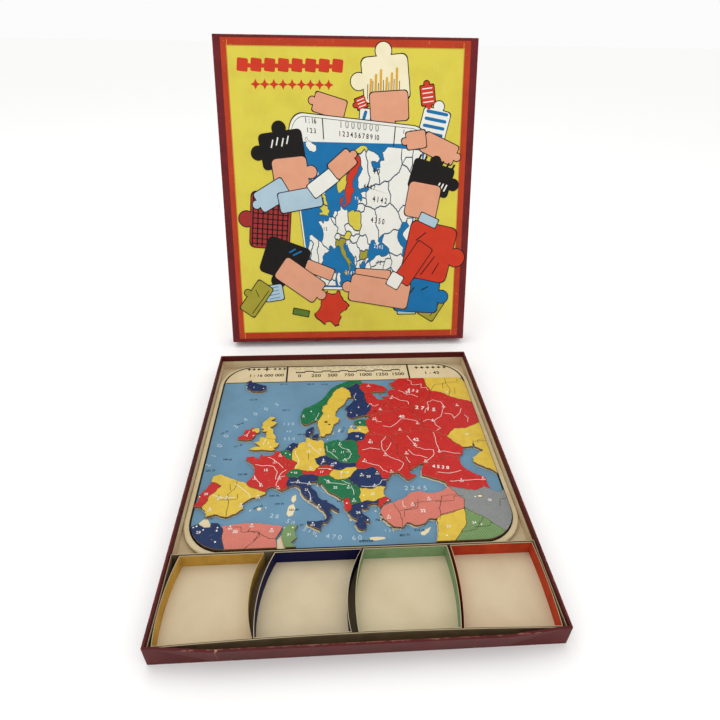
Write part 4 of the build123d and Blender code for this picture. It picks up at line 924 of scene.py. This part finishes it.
# %% Ornaments
BAR_FROM, BAR_PANEL, BAR_PANELS = -66, 11.8, 12  # where the scale bar starts, and its panels, in mm
marks = bmesh.new()
star(marks, tilted(flat, (-106, 186.0)), 6.4, 1.7, 2 * INK)
for end in (-1, 1):
    for number in range(3):
        star(marks, tilted(flat, (-106 + end * (11 + 6.5 * number), 186.0)), 3.0, 1.5, 2 * INK)
    for number in range(3):
        star(marks, tilted(flat, (119 + end * (3.9 + 7.8 * number), 182.8)), 3.2, 1.7, 2 * INK)
for step in range(BAR_PANELS):
    x, y = BAR_FROM + BAR_PANEL * step, 175.8 + (2.2 if step % 2 else 0)
    rounded_panel(marks, flat, (x, y), (x + BAR_PANEL, y + 2.2), 0, 2 * INK)
for step in range(BAR_PANELS + 1):
    x = BAR_FROM + BAR_PANEL * step
    rounded_panel(marks, flat, (x - 0.3, 174.8), (x + 0.3, 179.6), 0, 2 * INK)
for step in range(7):
    put_number(marks, str(step * 250), 8.8, tilted(flat, (-61 + 22.2 * step, 168.8)), 2 * INK)
put_number(marks, "1 : 16 000 000", 8.0, tilted(flat, (-105.5, 171.4)), 2 * INK)
put_number(marks, "1 - 43", 8.8, tilted(flat, (119, 169.8)), 2 * INK)
print_on_map("printed_heading", marks, black_ink)

lozenges = []
for number in range(10):
    x, y, wide, tall = -64 + 15.2 * number, 186.2, 6.4 if number % 2 else 4.6, 4.2
    lozenges.append([(x - wide, y), (x, y + tall), (x + wide, y), (x, y - tall), (x - wide, y)])
pale_lines = bmesh.new()
pale_lines.from_mesh(ribbons("lozenge", lozenges, 0.8, SHEET_TOP, straight=True))
make_piece("printed_heading_lines", pale_lines, ink("faint_grey_ink", "#A89D88", "#B9AD97"), "map")
print("the scale bar is", round(BAR_PANEL * BAR_PANELS), "mm long")

# %% [markdown]
# ## Figures on the sea
#
# Pale figures follow the shores as depths do on a chart, and small dark ones stand where a map names a
# bay or an island. The pale ones are thin strokes, so they are hardly thickened.

# %% Figures on the sea
DEPTHS = ((-155, 8, "2", 9, 74), (-151, 22, "1", 9, 72), (-147, 38, "0", 9, 68), (-142, 54, "0", 9, 62),
          (-133, 70, "3", 8.5, 50), (-123, 82, "4", 8.5, 46), (-112, 92, "0", 8.5, 40), (-100, 101, "0", 8.5, 34),
          (-87, 109, "5", 8.5, 30), (-71, 72, "1 2 0", 6.5, 0), (-70, 59, "8 0", 4.5, 0), (-69, 46, "9 5 0", 6.5, 0),
          (67, -34, "2 2 4 5", 8.5, -2), (-78, -64, "2 8", 7, -14), (-62, -72, "5 0", 7, -28),
          (-43, -83, "3 1 0", 7, -26),
          (-20, -91, "4 7 0", 7.5, -10), (2, -93, "6 0", 7.5, 2), (30, -74, "7 5", 5, 0), (34, -86, "1 3 0", 5, 0),
          (139, 8, "9", 5.5, -70), (143, -1, "9 5", 5.5, -58), (-30, -34, "1 2", 4, -48), (8, 66, "4 5", 4, 75))
COAST_FIGURES = ((-145, 60, 34), (-129, 74, 30), (-126, 37, 20), (-135, 16, -4), (-151, 0, 0), (-116, -7, 0),
                 (-75, 98, 0), (-1, 99, 80), (-6, 59, 70), (-55, 53, 0), (-95, -52, 24), (-80, -38, 0), (-59, -57, 0),
                 (-11, -48, 0), (-54, -77, 20), (12, -97, 0), (-142, -64, 0), (26, -73, 0), (48, -92, 0),
                 (40, -83, -6),
                 (9, -97, 0), (63, -87, 0), (-81, 151, 0), (-46, 150, 0), (-28, 149, 0), (-118, 120, 0),
                 (-74, -49, 0))
figures = bmesh.new()
for number, (x, y, turn) in enumerate(COAST_FIGURES, start=1):
    text = f"{37 * number % 900 + 100} {13 * number % 90 + 10}"
    put_number(figures, text, 3.6, tilted(flat, (x, y), turn), 2 * INK)
print_on_map("printed_coast_figures", figures, ink("sea_black_ink", "#26333D", "#33424D"))
depths = bmesh.new()
for x, y, text, size, turn in DEPTHS:
    put_number(depths, text, size, tilted(flat, (x, y), turn), 2 * INK, 0.012)
print_on_map("printed_depths", depths, ink("pale_blue_ink", "#B4C7D2", "#9DB5C5"))

print(len(DEPTHS), "pale figures and", len(COAST_FIGURES), "dark ones lie on the sea")

# %% [markdown]
# ## Lakes and small spots
#
# A few pieces carry a lake, printed as a dark spot, and one carries a pale lake with a dark rim, which
# is a smaller pale spot over a larger dark one. Each is a circle stretched to an oval.

# %% Lakes and small spots
lake_brown = ink("dark_lake_ink", "#3E2618", "#2C1A10")
for piece_name, name, material, level, spots in (
        ("sweden", "lakes", lake_brown, 2, ((-26.2, 70.7, 2.2, 1.5), (-22.2, 66.2, 1.4, 1.1))),
        ("russia_north", "lakes", lake_brown, 2,
         ((43.3, 121.3, 1.5, 0.8), (46.4, 99.8, 1.2, 0.8), (34.2, 88.7, 1.8, 1.0))),
        ("iran", "lake_rim", lake_brown, 1, ((131.0, -50.0, 3.4, 2.1),)),
        ("iran", "lake", cream_ink, 2, ((131.0, -50.0, 2.7, 1.5),)),
        ("morocco", "dots", white_ink, 2,
         ((-151.0, -75.0, 0.9, 0.9), (-131.0, -81.0, 0.9, 0.9), (-130.5, -93.6, 0.9, 0.9)))):
    small = bmesh.new()
    for x, y, wide, deep in spots:
        for vert in bmesh.ops.create_circle(small, cap_ends=True, segments=16, radius=1.0)["verts"]:
            vert.co = on_piece(x + wide * vert.co.x, y + deep * vert.co.y, level * INK)
    thicken(small)
    make_piece(f"{name}_on_{piece_name}", small, material, piece_name)
    print(piece_name, "carries", len(spots), name.replace("_", " "))

# %% [markdown]
# ## The lid's label
#
# The label is one sheet printed in flat colours: an orange-red border round a yellow field, a row of
# little puzzle pieces where a title would be, and a picture of the puzzle itself. In the picture the
# board leans between big interlocking pieces in the colours of a picture book. Each colour is a thin
# slab whose top lies a few layers of ink above what it is printed over, with a black slab a little larger
# beneath it for its outline. A layer is about a hundredth of a millimetre.

# %% Border and field
def streaked_print(name, tone, dark, pale, roughness=0.5):
    """A flat ink that was laid on a little unevenly and has been rubbed in fine upright streaks."""
    material, tree, shader, place = finish_start(name, roughness)
    colour = paper_colour(tree, place, tone, dark, patch_mm=30.0, fibre_mm=0.9, strength=0.5)
    drawn_out = add(tree, "Mapping", {"Vector": place, "Scale": (1.0, 0.12, 0.12)})
    rubs = noise_mask(tree, drawn_out.outputs["Vector"], 2.5, 0.6, 0.78, 0.35)
    colour = add(tree, "Mix", {0: rubs, 6: colour, 7: pale}, data_type="RGBA").outputs[2]
    chips = noise_mask(tree, place, 1.6, 0.7, 0.74, 0.4)
    colour = add(tree, "Mix", {0: chips, 6: colour, 7: "#E8DCC0"}, data_type="RGBA").outputs[2]
    tree.links.new(colour, shader.inputs["Base Color"])
    paper_bump(tree, shader, place, 0.8, 0.04, 0.4)
    return material


border_print = streaked_print("orange_red_label_print", "#B93C1C", "#982B16", "#C65D3C")
field_print = streaked_print("yellow_label_print", "#D9CB4A", "#C6B640", "#E2D67C")
wear("lid_label", border_print)
LABEL_LIFT = 0.35
LAYER = 0.012
FIELD_LOW, FIELD_HIGH = (-152.5, 15.0), (151.5, 386.5)


def on_label(u, v, lift):
    """A place on the lid's label."""
    return on_lid(u, v, lift + LABEL_LIFT)


for name, grow, layer, material in (("label_line", 1.2, 1, ink("tan_ink", "#C69A3A", "#AD8230")),
                                    ("label_field", 0.0, 2, field_print)):
    sheet = bmesh.new()
    rounded_panel(sheet, on_label, (FIELD_LOW[0] - grow, FIELD_LOW[1] - grow),
                  (FIELD_HIGH[0] + grow, FIELD_HIGH[1] + grow), 0, layer * LAYER)
    thicken(sheet, OUT)
    make_piece(name, sheet, material, "lid")
print("the yellow field is", FIELD_HIGH[0] - FIELD_LOW[0], "by", FIELD_HIGH[1] - FIELD_LOW[1], "mm")

# %% [markdown]
# The big pieces are rectangles with rounded corners, and a round knob stands out of some of their sides.
# Where two overlap, the upper one is printed some layers above the lower one, so that no two colours
# ever lie at the same height. All shapes of one colour are collected and become one object at the end.

# %% Big interlocking pieces
SIDES = {"e": (1, 0), "w": (-1, 0), "n": (0, 1), "s": (0, -1)}
inks = {
    "black": ink("black_print", "#171412", "#221E1B"), "peach": ink("peach_print", "#DFA080", "#CF8C6C"),
    "pale_blue": ink("pale_blue_print", "#ADC6D2", "#92AFBE"), "red": ink("red_print", "#CC3A22", "#B42D18"),
    "dark_red": ink("dark_red_print", "#A03030", "#8A2426"), "olive": ink("olive_print", "#A39A35", "#8A8228"),
    "blue": ink("blue_print", "#1670A8", "#105C8E"), "cream": ink("cream_print", "#EFE6C4", "#E0D2A0"),
    "gold": ink("gold_print", "#D9A83C", "#C2902C"), "white": ink("white_print", "#E9E9E0", "#D9D9CE"),
    "yellow": field_print, "grey": ink("grey_print", "#A8A79E", "#96958C"),
    "green": ink("leaf_print", "#5E7A32", "#4A6426"),
}
printed = {colour: bmesh.new() for colour in inks}
LEVELS = 6  # layers of ink that one piece uses: its outline, its colour, their knobs and its strokes
KNOB, CORNER = 0.19, 0.14  # radii, as shares of a piece's shorter side


def knobbed(colour, middle, wide, tall, turn, knobs, layer, outline=1.2):
    """One interlocking piece: a black outline under a shape of one colour, with knobs on some sides."""
    place = tilted(on_label, middle, turn)
    short = min(wide, tall)
    for tone, grow, level in (("black", outline, LEVELS * layer), (colour, 0.0, LEVELS * layer + 2)):
        rounded_panel(printed[tone], place, (-wide / 2 - grow, -tall / 2 - grow), (wide / 2 + grow, tall / 2 + grow),
                      CORNER * short, level * LAYER, 4)
        for side in knobs:
            reach_x, reach_y = wide / 2 + 0.55 * KNOB * short, tall / 2 + 0.55 * KNOB * short
            at_side = tilted(place, (SIDES[side][0] * reach_x, SIDES[side][1] * reach_y))
            spot_of_ink(printed[tone], at_side, KNOB * short + grow, (level + 1) * LAYER)
    return place, layer


def strokes(tone, piece, marks, wide):
    """Short strokes of one colour on a piece, each from one point to another, with round ends."""
    place, layer = piece
    for (x0, y0), (x1, y1) in marks:
        along = math.hypot(x1 - x0, y1 - y0)
        at_stroke = tilted(place, ((x0 + x1) / 2, (y0 + y1) / 2), math.degrees(math.atan2(y1 - y0, x1 - x0)))
        rounded_panel(printed[tone], at_stroke, (-along / 2, -wide / 2), (along / 2, wide / 2), 0.49 * wide,
                      (LEVELS * layer + 5) * LAYER, 3)


print("the label is printed in", len(inks), "inks")

# %% [markdown]
# The pieces at the top stand behind the board, so they use the lowest layers. Only the two at the right
# that lie over the board's corner are printed above it. A piece with strokes on it is kept under the name
# of what its colours bring to mind, such as hair or a blouse.

# %% Pieces behind the board
knobbed("peach", (-24, 318), 42, 24, -16, "w", 1)
hair = knobbed("cream", (50, 351), 60, 54, 6, "nw", 1)
strokes("gold", hair, [((-23 + 7 * n, -22), (-19 + 7 * n, 2 + 5 * (n % 3))) for n in range(6)], 3.2)
strokes("black", hair, [((-26.5 + 7 * n, -22), (-24 + 7 * n, -4 + 3 * (n % 2))) for n in range(7)], 0.9)
blouse = knobbed("white", (116, 296), 36, 38, -14, "n", 1)
strokes("blue", blouse, [((-15, -13 + 9 * n), (15, -11 + 9 * n)) for n in range(4)], 4.2)
blouse = knobbed("white", (36, 306), 40, 16, -4, "", 1)
strokes("blue", blouse, [((-15 + 10 * n, -6), (-12 + 10 * n, 6)) for n in range(4)], 4.2)
knobbed("peach", (55, 318), 50, 36, 4, "s", 2)
bow = knobbed("red", (106, 332), 18, 24, 8, "ns", 1)
strokes("white", bow, [((-7, -8 + 5.4 * n), (7, -8 + 5.4 * n)) for n in range(4)], 1.3)
bow = knobbed("red", (18, 322), 14, 14, 20, "w", 1)
strokes("white", bow, [((-5, -4 + 4 * n), (5, -4 + 4 * n)) for n in range(3)], 1.2)
knobbed("peach", (124, 266), 48, 26, -24, "e", 6)
knobbed("peach", (92, 277), 26, 22, 8, "w", 7)
print("pieces behind the board are printed")

# %% [markdown]
# The pieces on the left lean on the board's left side and foot. One is checked with two sets of crossed
# strokes, and the darkest ones carry a few pale strokes where varnish would catch the light.

# %% Pieces on the left
hair = knobbed("black", (-88, 264), 56, 44, 8, "nw", 6)
strokes("white", hair, [((-14 + 7 * n, 4 + 2 * (n % 2)), (-10 + 7 * n, 14 + 2 * (n % 2))) for n in range(4)], 1.7)
knobbed("peach", (-78, 233), 46, 42, 6, "e", 7)
waistcoat = knobbed("dark_red", (-108, 172), 54, 74, -5, "w", 6)
strokes("black", waistcoat, [((-24 + 6.8 * n, -35), (-24 + 6.8 * n, 35)) for n in range(8)], 1.8)
strokes("black", waistcoat, [((-25, -32 + 6.8 * n), (25, -32 + 6.8 * n)) for n in range(10)], 1.4)
knobbed("pale_blue", (-104, 206), 44, 28, 30, "w", 8)
knobbed("pale_blue", (-66, 200), 58, 26, 10, "", 9)
knobbed("white", (-34, 222), 42, 20, 36, "", 10)
knobbed("peach", (-8, 246), 34, 24, 40, "e", 11)
shorts = knobbed("black", (-90, 118), 60, 50, -20, "s", 7)
strokes("blue", shorts, [((8, 10), (18, 20)), ((2, 12), (9, 20))], 2.2)
knobbed("peach", (-70, 90), 66, 34, -36, "e", 9)
sock = knobbed("pale_blue", (-108, 72), 26, 22, 8, "", 8)
strokes("blue", sock, [((-8, -8 + 5 * n), (8, -7 + 5 * n)) for n in range(4)], 0.9)
shoe = knobbed("olive", (-133, 64), 50, 24, 54, "n", 9)
strokes("black", shoe, [((-22, -7), (20, -8)), ((4, -2), (10, 8))], 1.0)
knobbed("peach", (-42, 104), 40, 16, -22, "", 8)
print("pieces on the left are printed")

# %% [markdown]
# The pieces on the right cover the board's lower right corner. A few thin black strokes give folds.

# %% Pieces on the right
hair = knobbed("black", (114, 228), 56, 38, -16, "en", 6)
strokes("white", hair, [((12 + 5 * n, -12), (14 + 5 * n, -2)) for n in range(3)], 2.0)
strokes("black", hair, [((-24 + 8 * n, 16), (-22 + 8 * n, 26)) for n in range(7)], 2.6)
knobbed("peach", (103, 198), 44, 46, -10, "", 7)
knobbed("pale_blue", (112, 172), 26, 12, -24, "", 9)
jersey = knobbed("red", (114, 128), 66, 78, -12, "e", 8)
strokes("black", jersey, [((-4, -34), (10, -4)), ((12, -30), (18, -12)), ((-22, 12), (-10, 26))], 1.4)
knobbed("red", (92, 112), 24, 62, -34, "", 10)
knobbed("white", (66, 88), 18, 20, -30, "", 11)
trousers = knobbed("blue", (98, 66), 64, 48, -4, "e", 7)
strokes("black", trousers, [((-14, -4), (-4, 12)), ((6, 8), (16, 14))], 1.6)
knobbed("peach", (44, 72), 86, 38, -10, "w", 9)
knobbed("peach", (34, 94), 50, 20, -4, "", 8)
knobbed("pale_blue", (84, 44), 26, 10, 0, "", 6)
shoe = knobbed("olive", (120, 48), 34, 26, 58, "e", 6)
strokes("black", shoe, [((-12, -6), (12, -7))], 1.0)
print("pieces on the right are printed")

# %% [markdown]
# A row of little joined pieces and a row of stars stand where a box has its title. A small loose green
# piece lies at the foot. Fine gold lines mark the field's corners in the border, as on a printer's sheet.

# %% Title row
knobbed("green", (-70, 43), 22, 8, -12, "", 6)
for step in range(8):
    knobbed("red", (-134.5 + 17.4 * step, 365.5), 14.0, 15.5, -6, "e" if step < 7 else "", 1, outline=0.0)
for step in range(9):
    star(printed["red"], tilted(on_label, (-119 + 11.8 * step, 343)), 6.4, 2.9, 8 * LAYER)
for u, low, high in ((FIELD_LOW[0], FIELD_HIGH[1] + 1, 394.0), (FIELD_HIGH[0], FIELD_HIGH[1] + 1, 394.0),
                     (FIELD_LOW[0], 5.5, FIELD_LOW[1] - 1), (FIELD_HIGH[0], 5.5, FIELD_LOW[1] - 1)):
    rounded_panel(printed["gold"], on_label, (u - 0.3, low), (u + 0.3, high), 0, LAYER)
print("a row of 8 little pieces and 9 stars is printed")

# %% [markdown]
# The picture of the board is drawn from the real one: the top faces of the sawn pieces are copied, moved
# into the leaning outline and inked in white or in a few plain colours, with the sea between them.

# %% The board in the picture
PICTURE = ((-56.0, 77.0), (78.0, 74.0), (111.0, 292.0), (-81.0, 311.0))


def in_picture(x, y, lift):
    """A place of the real board, as it lies in the picture."""
    across = (x - board_low.x) / (board_high.x - board_low.x)
    along = (y - board_low.y) / (board_high.y - board_low.y)
    foot = [a + (b - a) * across for a, b in zip(PICTURE[0], PICTURE[1])]
    head = [a + (b - a) * across for a, b in zip(PICTURE[3], PICTURE[2])]
    return on_label(*[a + (b - a) * along for a, b in zip(foot, head)], lift)


for tone, grow, layer in (("black", 1.6, 20), ("white", 0.0, 21)):
    rounded_panel(printed[tone], in_picture, (board_low.x - grow, board_low.y - grow),
                  (board_high.x + grow, board_high.y + grow), 40, layer * LAYER)
rounded_panel(printed["black"], in_picture, (board_low.x + 4, board_low.y + 4), (board_high.x - 4, board_high.y - 4),
              38, 22 * LAYER)
rounded_panel(printed["white"], in_picture, (board_low.x + 5, board_low.y + 5), (board_high.x - 5, board_high.y - 5),
              37, 23 * LAYER)
for divider_x in (-84.0, 84.0):
    rounded_panel(printed["black"], in_picture, (divider_x - 1.2, BAND_Y), (divider_x + 1.2, board_high.y - 4), 0,
                  25 * LAYER)
for text, size, x, y in (("1 : 16", 12, -112, 184), ("1 2 3", 11, -112, 168), ("1 2 3 4 5 6 7 8 9 10", 12, 0, 168),
                         ("1 0 0 0 0 0 0", 18, 0, 184), ("1 - 43", 10, 114, 183), ("4 3 2 1", 10, 114, 169)):
    put_number(printed["grey" if size == 18 else "black"], text, size, tilted(in_picture, (x, y)), 25 * LAYER)
sea = bmesh.new()
rounded_panel(sea, in_picture, (board_low.x + 5, board_low.y + 5), (board_high.x - 5, board_high.y - 5), 37,
              24 * LAYER)
cut = in_picture(0, BAND_Y, 0)
bmesh.ops.bisect_plane(sea, geom=sea.verts[:] + sea.edges[:] + sea.faces[:], plane_co=cut,
                       plane_no=(in_picture(0, BAND_Y + 10, 0) - cut).normalized(), clear_outer=True)
top_edge = in_picture(*board_high.xy, 0) - in_picture(board_low.x, board_high.y, 0)
print("the picture's board is", round(top_edge.length / MM), "mm across")

# %% [markdown]
# A country in the picture is the copied top of its own piece: once in black, and over that once more in
# its colour, with its rim taken away by an inset, so that the black shows round it as a border. One
# country lies loose under the board, larger, as the one that is to be put in next.

# %% Countries in the picture
PICTURED = {"norway": "yellow", "sweden": "red", "denmark": "red", "great_britain": "yellow", "ireland": "red",
            "poland": "yellow", "austria": "yellow", "italy": "olive", "bulgaria": "olive"}


for node_name in PRINTED:
    tone = PICTURED.get(node_name, "white")
    for shade, inset, layer in (("black", 0.0, 26), (tone, 0.9, 28)):
        copy = top_of(node_name)
        if inset:
            rim = bmesh.ops.inset_region(copy, faces=copy.faces[:], thickness=inset * MM, use_boundary=True)["faces"]
            bmesh.ops.delete(copy, geom=rim, context="FACES")
        lay_shape(printed[shade], copy, lambda x, y: in_picture(x, y, layer * LAYER))

for place_on_map, text, size, tone in (
        ((46, 110), "4 0", 14, "black"), ((60, 60), "4 1 4 2", 14, "black"), ((58, 22), "4 3 5 0", 14, "black"),
        ((30, 82), "4 4 0 7", 11, "black"), ((-96, 2), "1 5", 9, "black"), ((72, -56), "3 2", 11, "black"),
        ((-106, 60), "2 1 0 0", 13, "white"), ((66, -26), "2 2 4 5", 10, "white"),
        ((-20, -78), "3 1 4 7 0", 11, "white"),
        ((-118, 92), "3 4 0 5", 12, "white"), ((-4, 60), "9 5", 8, "white"), ((-20, -20), "2 1", 8, "black")):
    put_number(printed[tone], text, size, tilted(in_picture, place_on_map, 30 if place_on_map[0] < -100 else -4),
               31 * LAYER)
middle = spot(2.4, 46.8)
for shade, size, layer in (("black", 0.92, 33), ("red", 0.86, 35)):
    turned = tilted(on_label, (-26, 50), -14)
    lay_shape(printed[shade], top_of("france"),
              lambda x, y: turned((x - middle[0]) * size, (y - middle[1]) * size, layer * LAYER))

print("the picture shows", len(PRINTED) + 1, "countries")

# %% [markdown]
# Every colour has now collected all its shapes, so each bmesh is thickened once and becomes one object.

# %% The colours of the label
thicken(sea, OUT)
make_piece("label_sea", sea, inks["blue"], "lid")
for tone, bm in printed.items():
    thicken(bm, OUT)
    make_piece("label_" + tone, bm, inks[tone], "lid")
print("the label's picture is", len(printed) + 1, "objects, one for each ink")

# %% Compare the boxes and finish
visual_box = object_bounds()
sizes = {"cad": [list(corner) for corner in cad_box], "visual": [list(corner) for corner in visual_box]}
growth = max(abs(a - b) for one, two in zip(sizes["cad"], sizes["visual"]) for a, b in zip(one, two))
print("the box grew by at most", round(growth / MM, 2), "mm")
